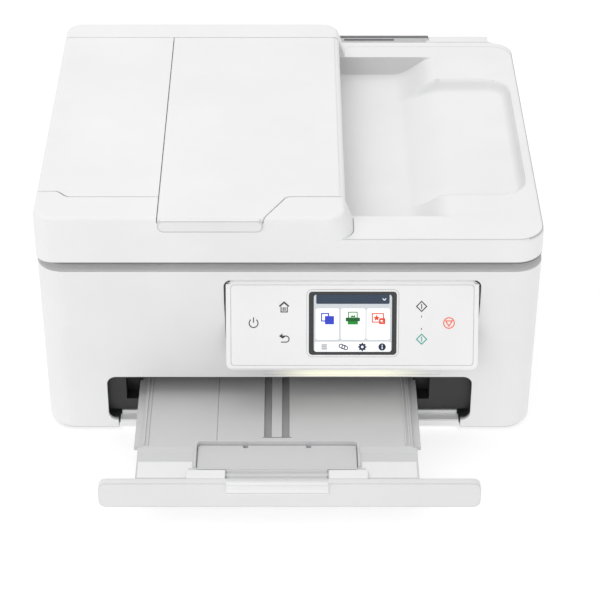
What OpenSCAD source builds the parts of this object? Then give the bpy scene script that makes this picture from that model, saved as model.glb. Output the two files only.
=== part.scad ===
/* [Body] */
// Overall width across the upper cover
body_w = 377; // [370:1:390]
// Depth of the body with the output tray pushed in
body_d = 366; // [360:1:380]
// Height of the lower case rim above the desk
case_h = 148; // [147:0.5:154]
// Radius of the vertical corners seen from above
corner_r = 21; // [16:1:24]
// Wall thickness of the outer mouldings
wall = 2.5; // [2:0.1:3]
// Inward lean of each side of the lower case in degrees
draft_deg = 0.5; // [0.2:0.1:0.6]
// Height of the bevel round the bottom edge
bevel_h = 3.5; // [2:0.5:4]
// Height of the ledge along the rear deck
ledge_h = 3; // [2:0.5:4]
// Height by which the feet lift the base
foot_h = 1.5; // [1:0.1:2]
// Radius of a rubber foot
foot_r = 9; // [6:0.5:11]
// Thickness of the base pan
pan_t = 2; // [1.5:0.1:2.3]

/* [Upper cover] */
// Height of the shadow groove under the upper cover
groove_h = 8.2; // [8:0.1:9]
// Height from the cover's lower edge to the document plate
skirt_h = 19.8; // [19:0.2:24]
// Depth of the deck behind the upper cover
deck_d = 52; // [48:1:56]
// Radius of the soft edge round the top
edge_r = 3.5; // [2:0.5:5]
// Width of the cover rim seen round the document plate
rim_w = 4; // [3:0.5:5]
// Radius of the knuckles of the upper cover's hinge
cover_hinge_r = 6.5; // [5.5:0.1:6.5]
// Thickness of the white pressing sheet
press_t = 2.5; // [2:0.1:2.7]

/* [Document feeder] */
// Rise of the document feeder above the document plate
feeder_h = 18; // [17:0.5:22]
// Right end of the feeder
feeder_right = 46; // [44:1:50]
// Inward lean of the feeder's right end at its top
side_lean = 4.5; // [3:0.5:6]
// Left edge of the document tray
lid_left = -96.5; // [-100:0.5:-94]
// Distance of the document tray from the cover's rear edge
lid_behind = 27; // [23:1:31]
// Distance of the tray's right part from the front
lid_ahead = 31.5; // [29:0.5:34]
// Thickness of the document tray
lid_t = 3.4; // [2.6:0.1:3.8]
// Right end of the finger lip
lip_right = -18.5; // [-24:0.5:-16]
// Reach of the finger lip in front of the cover
lip_out = 2.4; // [1.8:0.1:3]
// Height of the finger lip on the front face
lip_drop = 10; // [7:0.5:12]
// Distance of the feeder cover's left end from the front
flap_ahead = 39.3; // [37:0.1:41]
// Radius of the roller that turns the page over
turn_roller_r = 13; // [11:0.5:13]
// Radius of the roller that picks the page up
pick_roller_r = 9; // [7:0.5:9]

/* [Document outlet] */
// Depth of the recess that receives the documents
outlet_deep = 18.3; // [16:0.1:18.3]
// Distance of the recess's left part from the front
outlet_ahead = 33; // [32:0.5:43]
// Distance of the recess's left part from the cover's rear edge
outlet_behind = 28; // [28:1:36]
// Place where the left part of the recess has risen to the plate
outlet_step = 122; // [116:1:128]
// Distance of the recess's long part from the front
long_ahead = 66; // [58:1:73]
// Distance of the recess's long part from the cover's rear edge
long_behind = 67; // [59:1:73]
// Slope of the long part's walls
outlet_slope = 9; // [4:0.5:10]
// Clear distance from the recess end to the cover rim
outlet_end_gap = 3.5; // [3:0.5:6]

/* [Scanner] */
// Depth of the scanner tub below the case rim
scan_h = 34; // [31:0.5:34]
// Length of the platen glass
platen_len = 302; // [300:1:306]
// Width of the platen glass
platen_w = 222; // [218:1:226]
// Width of the feeder's reading glass
strip_w = 20; // [16:1:20]
// Thickness of the glass
glass_t = 3; // [2.5:0.1:3]
// Width of the reading head
scan_head_w = 22; // [18:1:22]
// Radius of the rail under the reading head
scan_rail_r = 4; // [3:0.1:4]
// Radius of the rounded rear edge that the scanner turns on
scan_hinge_r = 5; // [4.5:0.1:5]

/* [Front mouth] */
// Width of the front mouth
mouth_w = 280; // [278:1:284]
// Lower edge of the front mouth
mouth_low = 10.3; // [10.3:0.1:11]
// Upper edge of the front mouth
mouth_top = 51.5; // [50:0.5:54]
// Radius of the upper corners of the mouth
mouth_r = 7; // [4:0.5:9]

/* [Control panel] */
// Left edge of the control panel
panel_left = -47.4; // [-52:0.1:-44]
// Width of the control panel
panel_w = 188.4; // [184:0.1:190]
// Length of the panel from its upper to its lower edge
panel_len = 70.5; // [66:0.5:72]
// Thickness of the control panel
panel_t = 12.5; // [12:0.1:13]
// Distance of the panel's hinge below the case rim
panel_drop = 13.2; // [12.5:0.1:15]
// Angle at which the panel stands out from the front
panel_tilt = 24; // [0:1:40]
// Radius of the panel's face corners
panel_r = 5.5; // [4:0.5:8]
// Left edge of the touch screen from the panel's left edge
screen_left = 63.4; // [58:0.1:66]
// Width of the touch screen
screen_w = 63.2; // [58:0.1:66]
// Length of the touch screen down the panel
screen_len = 47.4; // [42:0.1:49]
// Distance of the touch screen from the panel's upper edge
screen_top = 11; // [9.5:0.1:14]

/* [Output tray] */
// Distance by which the output tray is pulled out
tray_out = 110; // [90:1:120]
// Left edge of the tray plate
tray_left = -110; // [-114:1:-106]
// Right edge of the tray plate
tray_right = 92; // [88:1:95]
// Height of the tray plate's upper face
tray_top = 36; // [34:0.5:38]
// Thickness of the tray plate
tray_t = 3; // [2.4:0.1:3.4]
// Length of the tray from its front bar to its inner end
tray_len = 165; // [158:1:172]
// Lower edge of the tray's front bar
bar_low = 14.3; // [14.3:0.1:16]
// Thickness of the tray's front bar
bar_t = 6; // [5:0.1:7]
// Length of the fold-out extension
ext_len = 34; // [28:1:36]
// Width of the fold-out extension
ext_w = 118; // [110:1:122]

/* [Paper drawer] */
// Width of the paper drawer
drawer_w = 262.4; // [260:0.1:263]
// Height of the drawer's side walls above the desk
drawer_top = 13.5; // [12:0.1:13.7]
// Length of the paper drawer
drawer_len = 305; // [300:1:308]
// Width of the paper that the drawer's guides hold
paper_w = 211; // [206:1:216]
// Centre line of the paper
paper_x = -9.2; // [-10.5:0.1:-8]

/* [Print engine] */
// Height of the feed and exit roller axes
roller_z = 55.5; // [55:0.1:56]
// Front-to-back place of the feed roller
feed_y = -45; // [-48:0.5:-43]
// Radius of the feed roller's gritted sleeve
feed_r = 5.5; // [5:0.1:5.6]
// Radius of the exit roller's rubber rings
exit_r = 5; // [4.5:0.1:5.2]
// Gear module
gear_m = 0.8; // [0.75:0.01:0.82]
// Teeth of the feed roller gear
feed_teeth = 60; // [58:1:61]
// Teeth of the exit roller gear
exit_teeth = 54; // [52:1:56]
// Teeth of the idler gear
idler_teeth = 18; // [18:1:20]
// Teeth of the feed motor pinion
pinion_teeth = 18; // [18:1:20]
// Face width of the gears
gear_w = 5; // [4:0.1:5]
// Radial clearance of a shaft in its bore
bore_gap = 0.05; // [0.02:0.01:0.08]
// Width of the print carriage
carriage_w = 84; // [80:1:84]
// Distance of the parked carriage's centre from the middle
carriage_park = 128; // [124:1:128]
// Radius of the belt pulleys
pulley_r = 6; // [5:0.1:6]
// Radius of the paper pickup roller
pickup_r = 11; // [10:0.1:11.5]
// Radius of the paper turn at the rear
turn_r = 22; // [20:0.5:22]

/* [Hidden] */

$fn = 48;
hull_fn = 32;
eps = 0.01;
far = 500;
gap = 0.3;
seam = 0.6;
swing_gap = 0.5;

white = [0.93, 0.94, 0.95];
soft_grey = [0.78, 0.79, 0.8];
mid_grey = [0.45, 0.46, 0.48];
dark = [0.12, 0.12, 0.13];
black = [0.04, 0.04, 0.045];
steel = [0.68, 0.7, 0.72];
glass_tint = [0.55, 0.65, 0.68, 0.5];

x_half = body_w / 2;
y_front = -body_d / 2;
y_rear = body_d / 2;
case_lean = case_h * tan(draft_deg);
in_x = x_half - case_lean - wall;
in_front = y_front + wall;
in_rear = y_rear - wall;
cover_z = case_h + groove_h;
plate_z = cover_z + skirt_h;
top_z = plate_z + feeder_h;
cover_rear = y_rear - deck_d;

foot_x = x_half - 28.5;
foot_y = y_rear - 33;

// rear deck and the scanner's rounded rear edge
deck_z = case_h + wall;
scan_axis_y = y_rear - 23;
scan_axis_z = case_h - 1.5;
scan_barrel_x = x_half - 10.5;
scan_pin_r = 3;
scan_pin_len = 5;
flange_top = scan_axis_z + scan_hinge_r;
deck_front = scan_axis_y + scan_hinge_r + swing_gap;

// control panel
panel_axis_z = case_h - panel_drop;
panel_right = panel_left + panel_w;
panel_barrel = 5;
panel_axis_y = y_front + panel_barrel;
panel_pin_r = 2.5;
panel_pin_len = 5;
panel_bottom = panel_axis_z + panel_barrel - panel_len;
recess_y = y_front + panel_t + 4;
recess_wall = 2;
recess_top = panel_axis_z + panel_barrel + swing_gap;
recess_low = panel_bottom - 1;

// light bar over the mouth
light_x0 = panel_left + 29;
light_x1 = panel_right - 26;
light_z = mouth_top + 2.3;

// paper drawer
pan_top = foot_h + pan_t;
drawer_floor = pan_top + 0.5;
drawer_floor_t = 2;
drawer_front_t = 8;
drawer_x = drawer_w / 2;
drawer_back = y_front + drawer_front_t;
drawer_end = y_front + drawer_len;

// print engine
frame_x = x_half - 15.3;
frame_t = 1.5;
feed_rad = gear_m * feed_teeth / 2;
exit_rad = gear_m * exit_teeth / 2;
idler_rad = gear_m * idler_teeth / 2;
pinion_rad = gear_m * pinion_teeth / 2;
idler_y = feed_y - feed_rad - idler_rad;
exit_y = idler_y - idler_rad - exit_rad;
motor_angle = 30;
motor_dist = feed_rad + pinion_rad;
motor_y = feed_y + motor_dist * cos(motor_angle);
motor_z = roller_z - motor_dist * sin(motor_angle);
gear_x = -frame_x - frame_t - 3 - gear_w;
shaft_r = 4;
exit_shaft_r = 2.5;
idler_pin_r = 2;
motor_shaft_r = 1;
feed_top = roller_z + feed_r;
platen_top = feed_top - 0.4;
head_z = platen_top + 1.4;
bed_z = 42;
bed_t = 4;
platen_left = paper_x - 108;
platen_right = paper_x + 108;
platen_span = platen_right - platen_left;
bed_front = exit_y + exit_r + 1.5;
bed_rear = feed_y - feed_r - 1.5;

// carriage and its drive
carriage_top = case_h - scan_h - 2;
carriage_low = head_z + 8;
carriage_front = exit_y - 3;
carriage_rear = feed_y + 33;
rail_y = carriage_rear + 6;
rail_depth = 16;
rail_back = rail_y + rail_depth;
rail_low = carriage_low + 8;
rail_top = carriage_top - 2;
rail_t = 1.5;
belt_z = (rail_low + rail_top) / 2 + 1;
belt_y = rail_y + 4;
belt_w = 5;
belt_t = 1;
pulley_x = frame_x - 15.2;
pulley_gap = 0.08;
bay_w = (carriage_w - 8) / 2;

// pickup
drawer_stack = drawer_floor + drawer_floor_t;
pickup_y = 92;
pickup_z = drawer_stack + 0.4 + pickup_r;
arm_y = 45;
arm_z = 38;
arm_pin_r = 3;

// paper turn
turn_y = y_rear - 55;
turn_z = feed_top - 2 - turn_r;
guide_t = 2;

// output tray
bar_front = y_front - tray_out;
bar_back = bar_front + bar_t;
tray_end = bar_front + tray_len;
bar_w = mouth_w - 1;
ext_axis_y = bar_back + 7;
ext_z = tray_top - 5.4;
ext_t = 2.4;
ext_axis_z = ext_z + ext_t - 1;
apron_y = bar_back + 37;
ext_half = ext_w / 2;
neck_half = ext_half - 21.8;
ext_knuckle_r = 2.2;
ext_pin_r = 1.2;
rail_tongue = 6;
liner_left = tray_left - 4;
liner_right = tray_right + 4;
liner_low = drawer_top + 1.5;
liner_end = exit_y - 11;

// scanner
tub_z = case_h - scan_h;
tub_x = x_half - 7;
tub_front = recess_y + recess_wall + 4.5;
tub_rear = scan_axis_y - 8;
tub_t = 2.2;
flange_z = case_h + gap;
flange_in = 9.2;
bezel_t = 2.7;
bezel_z = flange_top - 0.2 - bezel_t;
glass_lip = 0.7;
glass_z = bezel_z + glass_lip - glass_t;
bezel_x = x_half - flange_in - 0.4;
bezel_front = y_front + flange_in + 0.4;
bezel_rear = scan_axis_y - 22;
strip_x = 28.5 - x_half;
platen_x0 = strip_x + strip_w / 2 + 8;
platen_y = -2;
scan_rail_z = glass_z - 24;
scan_head_z = glass_z - 20.6;
scan_head_top = glass_z - 0.8;

// upper cover
base_t = 2;
base_z = cover_z - base_t;
sheet_z = base_z - press_t;
cover_axis_y = cover_rear + 16;
cover_axis_z = flange_top + swing_gap + cover_hinge_r;
cover_pin_r = 2;
hinge_x = x_half - 42.5;
hinge_arm_w = 39.2;
hinge_cheek = 6;
lip_t = 2;
insert_x = x_half - rim_w - 0.2;
insert_front = y_front + rim_w + 0.2;
insert_rear = cover_rear - rim_w - 0.2;
outlet_front = y_front + outlet_ahead;
outlet_rear = cover_rear - outlet_behind;
outlet_low = y_front + long_ahead;
outlet_high = cover_rear - long_behind;
outlet_floor = plate_z - outlet_deep;
outlet_end = insert_x - outlet_end_gap;
outlet_left = feeder_right - 12;

// document feeder
lid_front = y_front + lid_ahead;
lid_rear = cover_rear - lid_behind;
flap_front = y_front + flap_ahead;
lid_knuckle_r = 4;
lid_axis_x = feeder_right - side_lean - lid_knuckle_r;
lid_axis_z = top_z - 4.4;
lid_pin_r = 1.5;
flap_axis_x = 2.3 - x_half;
flap_axis_z = top_z - 7.5;
flap_knuckle_r = 2.2;
flap_pin_r = 1.2;
roller_y0 = lid_front + 19.5;
roller_y1 = lid_rear - 18;
path_front = lid_front + 5.5;
path_rear = lid_rear - 5;
turn_roller_x = strip_x;
turn_roller_z = cover_z + 3 + turn_roller_r;
pick_roller_x = lid_left - 20;
pick_roller_z = top_z - wall - 2 - pick_roller_r;
bulkhead_t = 3;
roller_shaft_r = 2.5;
guide_span = 216;
guide_mid = (lid_front + lid_rear) / 2;

// --- shared shapes ---

module box(x0, x1, y0, y1, z0, z1) {
  translate([x0, y0, z0]) cube([x1 - x0, y1 - y0, z1 - z0]);
}

module rod_x(x0, x1, y, z, r) {
  translate([x0, y, z]) rotate([0, 90, 0]) cylinder(h = x1 - x0, r = r);
}

module rod_y(y0, y1, x, z, r) {
  translate([x, y1, z]) rotate([90, 0, 0]) cylinder(h = y1 - y0, r = r);
}

module rod_z(z0, z1, x, y, r) {
  translate([x, y, z0]) cylinder(h = z1 - z0, r = r);
}

// rounded rectangle between two corners
module round_plan(x0, x1, y0, y1, r) {
  translate([x0 + r, y0]) square([x1 - x0 - 2 * r, y1 - y0]);
  translate([x0, y0 + r]) square([x1 - x0, y1 - y0 - 2 * r]);
  for (x = [x0 + r, x1 - r], y = [y0 + r, y1 - r]) translate([x, y]) circle(r);
}

module slab(x0, x1, y0, y1, z0, z1, r) {
  translate([0, 0, z0]) linear_extrude(z1 - z0) round_plan(x0, x1, y0, y1, r);
}

// children on the right and mirrored on the left of a centre line
module both_sides(centre = 0) {
  translate([centre, 0, 0]) {
    children();
    mirror([1, 0, 0]) children();
  }
}

// outline in Y and Z swept along X
module sweep_x(x0, x1) {
  translate([x0, 0, 0]) rotate([90, 0, 90]) linear_extrude(x1 - x0) children();
}

// outline in X and Z swept along Y
module sweep_y(y0, y1) {
  translate([0, y1, 0]) rotate([90, 0, 0]) linear_extrude(y1 - y0) children();
}

// four upright corner posts of a moulded shell, for hulls
module posts(x0, x1, y0, y1, z, h, r) {
  for (x = [x0 + r, x1 - r], y = [y0 + r, y1 - r])
    translate([x, y, z]) cylinder(h = h, r = r, $fn = hull_fn);
}

// shell with a soft top edge
module soft_block(x0, x1, y0, y1, z0, z1, r, e) {
  hull() {
    posts(x0, x1, y0, y1, z0, z1 - e - z0, r);
    for (a = [30, 60, 90]) {
      in = e * (1 - cos(a));
      posts(x0 + in, x1 - in, y0 + in, y1 - in, z1 - e + e * sin(a) - eps, eps, r - in);
    }
  }
}

function ease(t) = (1 - cos(180 * t)) / 2;

// --- gears ---

pressure = 20;
backlash = 0.08;

function involute(base, a) = base * [cos(a) + a * PI / 180 * sin(a), sin(a) - a * PI / 180 * cos(a)];
function involute_angle(base, r) = sqrt(pow(r / base, 2) - 1) * 180 / PI;
function polar_angle(p) = atan2(p[1], p[0]);

// one flank from root to tip as points, turned so that the tooth is centred on +X
function flank(teeth, side) =
  let (
    pitch = gear_m * teeth / 2,
    base = pitch * cos(pressure),
    tip = pitch + 0.95 * gear_m,
    half = 90 / teeth - backlash / 2 / pitch * 180 / PI / 2,
    at_pitch = polar_angle(involute(base, involute_angle(base, pitch))),
    last = involute_angle(base, tip)
  )
  [for (i = [0 : 6])
    let (p = involute(base, last * i / 6), a = polar_angle(p) - at_pitch - half)
    norm(p) * [cos(a), side * sin(a)]];

module tooth(teeth) {
  root = gear_m * teeth / 2 - 1.25 * gear_m;
  low = flank(teeth, 1);
  high = flank(teeth, -1);
  foot = polar_angle(low[0]);
  polygon(concat(
    [(root - 0.3) * [cos(foot), sin(foot)]],
    low,
    [for (i = [6 : -1 : 0]) high[i]],
    [(root - 0.3) * [cos(foot), -sin(foot)]]));
}

module gear(teeth, turn, bore) {
  root = gear_m * teeth / 2 - 1.25 * gear_m;
  linear_extrude(gear_w) difference() {
    union() {
      circle(root);
      for (i = [0 : teeth - 1]) rotate(turn + i * 360 / teeth) tooth(teeth);
    }
    circle(bore);
  }
}

// gear on an axis along X, its first tooth turned by the given angle from +Y
module gear_on(y, z, teeth, turn, bore) {
  translate([gear_x, y, z]) rotate([90, 0, 90]) gear(teeth, turn, bore);
}

// --- casing ---

// lower case outline with its lean and bottom bevel
module case_outer() {
  hull() {
    low = case_lean + bevel_h * 0.8;
    posts(low - x_half, x_half - low, y_front + bevel_h * 0.8, y_rear - bevel_h * 0.8,
      foot_h, eps, corner_r - bevel_h * 0.8);
    posts(case_lean - x_half, x_half - case_lean, y_front, y_rear, foot_h + bevel_h, eps, corner_r);
    posts(-x_half, x_half, y_front, y_rear, case_h, eps, corner_r);
    posts(1 - x_half, x_half - 1, y_front + 1, y_rear - 1, deck_z - eps, eps, corner_r - 1);
  }
}

module recess_walls() {
  box(panel_left - seam - recess_wall, panel_right + seam + recess_wall, in_front - eps,
    recess_y + recess_wall, recess_low - recess_wall, recess_top + recess_wall);
  for (x = [panel_left - seam - 2 * panel_pin_len / 2 - 2, panel_right + seam])
    rod_x(x, x + panel_pin_len + 2, panel_axis_y, panel_axis_z, panel_pin_r + 2.5);
}

module panel_recess() {
  intersection() {
    sweep_y(y_front - 1, recess_y) round_plan(panel_left - seam, panel_right + seam, recess_low,
      recess_top, panel_barrel - swing_gap);
    union() {
      box(-far, far, -far, far, 0, recess_top - panel_barrel);
      box(-far, far, -far, panel_axis_y + panel_barrel + swing_gap, 0, far);
    }
  }
}

module hinge_bosses() {
  both_sides()
    box(scan_barrel_x + 0.4, in_x + 0.5, scan_axis_y - 6.5, scan_axis_y + 7,
      scan_axis_z - 7, case_h);
}

// ledge of the rear deck, wide behind the hinges
module rear_ledge() {
  difference() {
    slab(1.5 - x_half, x_half - 1.5, y_front, y_rear - 1.5, deck_z - eps, deck_z + ledge_h,
      corner_r - 1.5);
    box(-far, far, -far, deck_front + 1, 0, far);
    box(26 - hinge_x, hinge_x - 26, 0, y_rear - 5, 0, far);
    both_sides() box(hinge_x + 26, far, 0, far, 0, far);
  }
}

module main_case() {
  color(white) difference() {
    union() {
      rear_ledge();
      difference() {
        case_outer();
        slab(-in_x, in_x, in_front, in_rear, 0, case_h, corner_r - wall);
      }
      recess_walls();
      hinge_bosses();
    }
    // open top under the scanner and the curved seat of its rear edge
    box(-far, far, -far, scan_axis_y - 2, case_h, far);
    box(-scan_barrel_x - 0.4, scan_barrel_x + 0.4, scan_axis_y - 3, deck_front, case_h - 1, far);
    rod_x(-in_x + 0.6, in_x - 0.6, scan_axis_y, scan_axis_z, scan_pin_r + bore_gap);
    panel_recess();
    rod_x(panel_left - seam - panel_pin_len - 1, panel_right + seam + panel_pin_len + 1,
      panel_axis_y, panel_axis_z, panel_pin_r + bore_gap);
    // front mouth
    sweep_y(y_front - 1, in_front + 1) round_plan(-mouth_w / 2, mouth_w / 2,
      mouth_low, mouth_top, mouth_r);
    box(-drawer_x - 1.5, drawer_x + 1.5, y_front - 1, in_front + 1, -1, mouth_low + 8);
    // rear cover and sockets
    box(platen_left - gap, platen_right + gap, in_rear - 1, y_rear + 1, foot_h + 6, 96 + gap);
    box(inlet_x - 12.3, inlet_x + 12.3, in_rear - 1, y_rear + 1, inlet_z - 8.3, inlet_z + 8.3);
    box(light_x0 - 0.1, light_x1 + 0.1, y_front - 1, in_front + 1, light_z - 0.1, light_z + 3.1);
    box(usb_x - 6.5, usb_x + 6.5, in_rear - 1, y_rear + 1, usb_z - 6, usb_z + 6);
  }
}

inlet_x = 30.5 - x_half;
inlet_z = 42;
usb_x = x_half - 32.5;
usb_z = 40;
psu_top = 62;
board_x = 165;
board_t = 1.6;

module base_pan() {
  pan_x = in_x - gap;
  color(mid_grey) difference() {
    union() {
      slab(-pan_x, pan_x, in_front + gap, in_rear - gap, foot_h, pan_top, corner_r - wall - gap);
      // raised edge
      difference() {
        slab(-pan_x, pan_x, in_front + gap, in_rear - gap, pan_top - eps, foot_h + 9,
          corner_r - wall - gap);
        slab(-pan_x + 1.5, pan_x - 1.5, in_front + gap + 1.5, in_rear - gap - 1.5,
          foot_h, foot_h + 10, corner_r - wall - gap - 1.5);
      }
      // runners at the drawer's sides and its rear stop
      both_sides()
        box(drawer_x + 0.8, drawer_x + 2.8, y_front + 60, drawer_end,
          pan_top - eps, drawer_top);
      for (x = [-90, 90])
        box(x - 12, x + 12, drawer_end + 1, drawer_end + 3,
          pan_top - eps, foot_h + 8);
      // ribs under the drawer
      for (x = [-100, -50, 0, 50, 100])
        box(x - 1, x + 1, y_front + 20, drawer_end - 10, pan_top - eps,
          drawer_floor - 0.2);
    }
    box(-drawer_x - 1.5, drawer_x + 1.5, y_front - 1, drawer_back + 0.5, 0, far);
    for (x = [-foot_x, foot_x], y = [-foot_y, foot_y]) rod_z(-1, foot_h + 1, x, y, foot_r);
  }
}

module rubber_feet() {
  color(dark) for (x = [-foot_x, foot_x], y = [-foot_y, foot_y]) {
    rod_z(0.6, foot_h + 1, x, y, foot_r);
    rod_z(0, 0.6 + eps, x, y, foot_r - 0.6);
  }
}

// access cover with the outer half of the paper turn on its ribs
module rear_cover() {
  color(white) difference() {
    union() {
      box(platen_left, platen_right, in_rear, y_rear, foot_h + 6 + gap, 96);
      for (i = [0 : 6])
        translate([platen_left + 8 + i * (platen_span - 19) / 6, 0, 0]) difference() {
          box(0, 3, turn_y, in_rear + eps, turn_z - turn_r - 2, turn_z + turn_r + 4);
          rod_x(-1, 4, turn_y, turn_z, turn_r + 2.5);
          box(-1, 4, turn_y - 1, turn_y + 6, 0, far);
        }
    }
    // finger grip
    rod_x(paper_x - 22, paper_x + 22, y_rear + 3, 84, 5);
  }
}

// black tunnel behind the front mouth
module opening_liner() {
  mx = mouth_w / 2;
  color(black) difference() {
    union() {
      box(-mx - 2, mx + 2, in_front, liner_end, mouth_top, mouth_top + 2);
      both_sides() box(mx, mx + 2, in_front, liner_end, liner_low, mouth_top + eps);
      side_block(-mx - eps, liner_left, -mx + 14, liner_left + 1, mouth_top - 26.6, mouth_top - eps);
      side_block(liner_right, mx + eps, liner_right - 1, liner_right + 12, mouth_top - 26.8, mouth_top - 6);
    }
    // grooves for the tray's side tongues
    box(liner_left - 2.5, liner_right + 2.5, -far, far, tray_top - tray_t - 3.4, tray_top - tray_t + 0.2);
  }
}

// hollow block across the mouth, with a pocket open to the tray
module side_block(x0, x1, px0, px1, pz0, pz1) {
  y0 = y_front + bar_t + 2;
  pocket = 13;
  t = 1.6;
  thick = 5;
  difference() {
    union() {
      difference() {
        box(x0, x1, y0, liner_end, liner_low, mouth_top + eps);
        box(x0 < 0 ? x0 - 1 : x0 + thick, x0 < 0 ? x1 - thick : x1 + 1, y0 + t, liner_end + 1,
          liner_low + t, far);
      }
      box(max(px0 - t, x0), min(px1 + t, x1), y0, y0 + pocket + t, pz0 - t, min(pz1 + t, mouth_top));
    }
    box(px0, px1, y0 - 1, y0 + pocket, pz0, pz1);
  }
}

module light_bar() {
  color([0.98, 0.96, 0.85]) box(light_x0, light_x1, y_front + 0.1, in_front + 2, light_z, light_z + 3);
}

// --- print engine ---

module side_frames() {
  color(steel) {
    difference() {
      union() {
        frame_plate(-frame_x - frame_t);
        // stub axle of the idler
        rod_x(gear_x - 1, -frame_x - eps, idler_y, roller_z, idler_pin_r);
      }
      rod_x(-far, far, feed_y, roller_z, shaft_r + bore_gap);
      rod_x(-far, far, exit_y, roller_z, exit_shaft_r + bore_gap);
      rod_x(-far, far, motor_y, motor_z, 4);
    }
    difference() {
      frame_plate(frame_x);
      rod_x(-far, far, feed_y, roller_z, shaft_r + bore_gap);
    }
  }
}

module frame_plate(x) {
  difference() {
    sweep_x(x, x + frame_t) polygon([
      [exit_y - 14, pan_top], [feed_y + 70, pan_top], [feed_y + 70, 60],
      [rail_back + 6, 74], [rail_back + 6, carriage_top],
      [carriage_front + 20, carriage_top], [exit_y - 14, 76]]);
    // lightening windows
    sweep_x(x - 1, x + frame_t + 1) round_plan(exit_y + 20, feed_y - 20, 16, 34, 4);
    sweep_x(x - 1, x + frame_t + 1) round_plan(exit_y + 22, rail_y - 12, 88, 102, 4);
  }
}

module carriage_rail() {
  color(steel) difference() {
    union() {
      box(-frame_x, frame_x, rail_back - rail_t, rail_back, rail_low, rail_top);
      box(-frame_x, frame_x, rail_y, rail_back, rail_top - rail_t, rail_top);
      box(-frame_x, frame_x, rail_y, rail_back, rail_low, rail_low + rail_t);
      box(-frame_x, frame_x, rail_y, rail_y + rail_t, rail_low, rail_low + 4);
    }
    // clearance holes for the two pulley shafts
    for (s = [-1, 1])
      rod_y(rail_back - rail_t - 1, rail_back + 1, s * pulley_x, belt_z, 2.4);
    // lightening slots along the web
    for (i = [-2 : 2])
      box(i * 60 - 18, i * 60 + 18, rail_back - rail_t - 1, rail_back + 1,
        rail_low + 9, rail_low + 17);
  }
}

module paper_platen() {
  color(dark) difference() {
    union() {
      box(-frame_x, frame_x, bed_front, bed_rear, bed_z, bed_z + bed_t);
      // hollow bed with a ribbed top
      difference() {
        box(platen_left, platen_right, bed_front, bed_rear, bed_z + bed_t - eps, platen_top - 2.2);
        box(platen_left + 2, platen_right - 2, bed_front + 2, bed_rear - 2, bed_z + bed_t,
          platen_top - 4.2);
      }
      for (i = [0 : 14])
        translate([platen_left + 4 + i * (platen_span - 9.5) / 14, 0, 0])
          sweep_x(0, 1.5) polygon([[bed_front, platen_top - 2.3], [bed_rear, platen_top - 2.3],
            [bed_rear, platen_top - 0.6], [bed_rear - 3, platen_top], [bed_front + 3, platen_top],
            [bed_front, platen_top - 1]]);
      // bearing posts of the exit roller
      for (x = [platen_left - 3, platen_right])
        box(x, x + 3, exit_y - 4.5, bed_front + eps, bed_z, roller_z + 4.5);
      box(platen_left - 3, platen_right + 3, exit_y - 4.5, bed_front + eps, bed_z, bed_z + 2);
    }
    rod_x(platen_left - 5, platen_right + 5, exit_y, roller_z, exit_shaft_r + bore_gap);
  }
}

// lower guide that carries the sheet from the turn to the feed roller
module paper_turn_guide() {
  guide_z = turn_z + turn_r;
  seat = 0.1;
  rib_x = [for (i = [0 : 8]) platen_left + 6 + i * (platen_span - 14) / 8];
  color(dark) {
    difference() {
      union() {
        box(platen_left + seat, platen_right - seat, feed_y + feed_r + 2, turn_y - seat, guide_z - guide_t,
          guide_z);
        for (x = rib_x)
          box(x, x + 2, feed_y + feed_r + 8, turn_y - seat, guide_z - 6, guide_z - guide_t + eps);
        // ears that hold the pickup arm's shaft
        for (x = [paper_x - 26, paper_x + 23])
          box(x, x + 3, arm_y - 7, arm_y + 7, arm_z - 6, guide_z - guide_t + eps);
      }
      rod_x(paper_x - 30, paper_x + 30, arm_y, arm_z, arm_pin_r + bore_gap);
    }
    // inner half of the turn: ribs on a cross beam
    for (x = rib_x)
      difference() {
        rod_x(x, x + 2, turn_y, turn_z, turn_r);
        rod_x(x - 1, x + 3, turn_y, turn_z, turn_r - 6);
        box(x - 1, x + 3, turn_y - 40, turn_y, 0, far);
      }
    rod_x(platen_left + 6, platen_right - 6, turn_y + turn_r - 3.5, turn_z, 2);
    // side plates down to the base pan
    for (x = [platen_left - 2, platen_right])
      sweep_x(x, x + 2) polygon([[feed_y + 58, drawer_top + 2], [feed_y + 58, guide_z],
        [turn_y + 8, guide_z], [turn_y + 12, drawer_top + 2]]);
    for (x = [platen_left - 20, platen_right])
      box(x, x + 20, turn_y - 20, turn_y - 12, drawer_top + 2, drawer_top + 5);
    for (s = [-1, 1])
      box(s * (drawer_x + 6) - 3, s * (drawer_x + 6) + 3, turn_y - 20, turn_y - 12,
        pan_top, drawer_top + 2 + eps);
    for (x = [[-drawer_x - 9, platen_left - 20 + eps], [platen_right + 20 - eps, drawer_x + 9]])
      box(x[0], x[1], turn_y - 20, turn_y - 12, drawer_top + 2, drawer_top + 5);
  }
}

pinch_r = 3;
pinch_z = feed_top + 0.15 + pinch_r;
pinch_y = feed_y + 2;

module pinch_holder() {
  top = carriage_low - 1;
  color(dark) difference() {
    union() {
      box(platen_left - 2, platen_right + 2, pinch_y + 4.5, pinch_y + 30, top - 4, top - 2);
      for (x = [platen_left - 2, platen_right])
        box(x, x + 2, pinch_y - 2.6, pinch_y + 30, pinch_z - 2.4, top - 2);
      for (i = [0 : 3]) {
        x = platen_left + 4 + i * (platen_span - 10) / 3;
        box(x, x + 2, pinch_y - 2.6, pinch_y + 8, pinch_z - 2.4, top - 2);
      }
      // legs on the lower guide
      for (x = [platen_left - 2, platen_right])
        box(x, x + 2, pinch_y + 24, pinch_y + 30, turn_z + turn_r, top - 3);
    }
    rod_x(platen_left - 5, platen_right + 5, pinch_y, pinch_z, 1 + bore_gap);
  }
}

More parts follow.
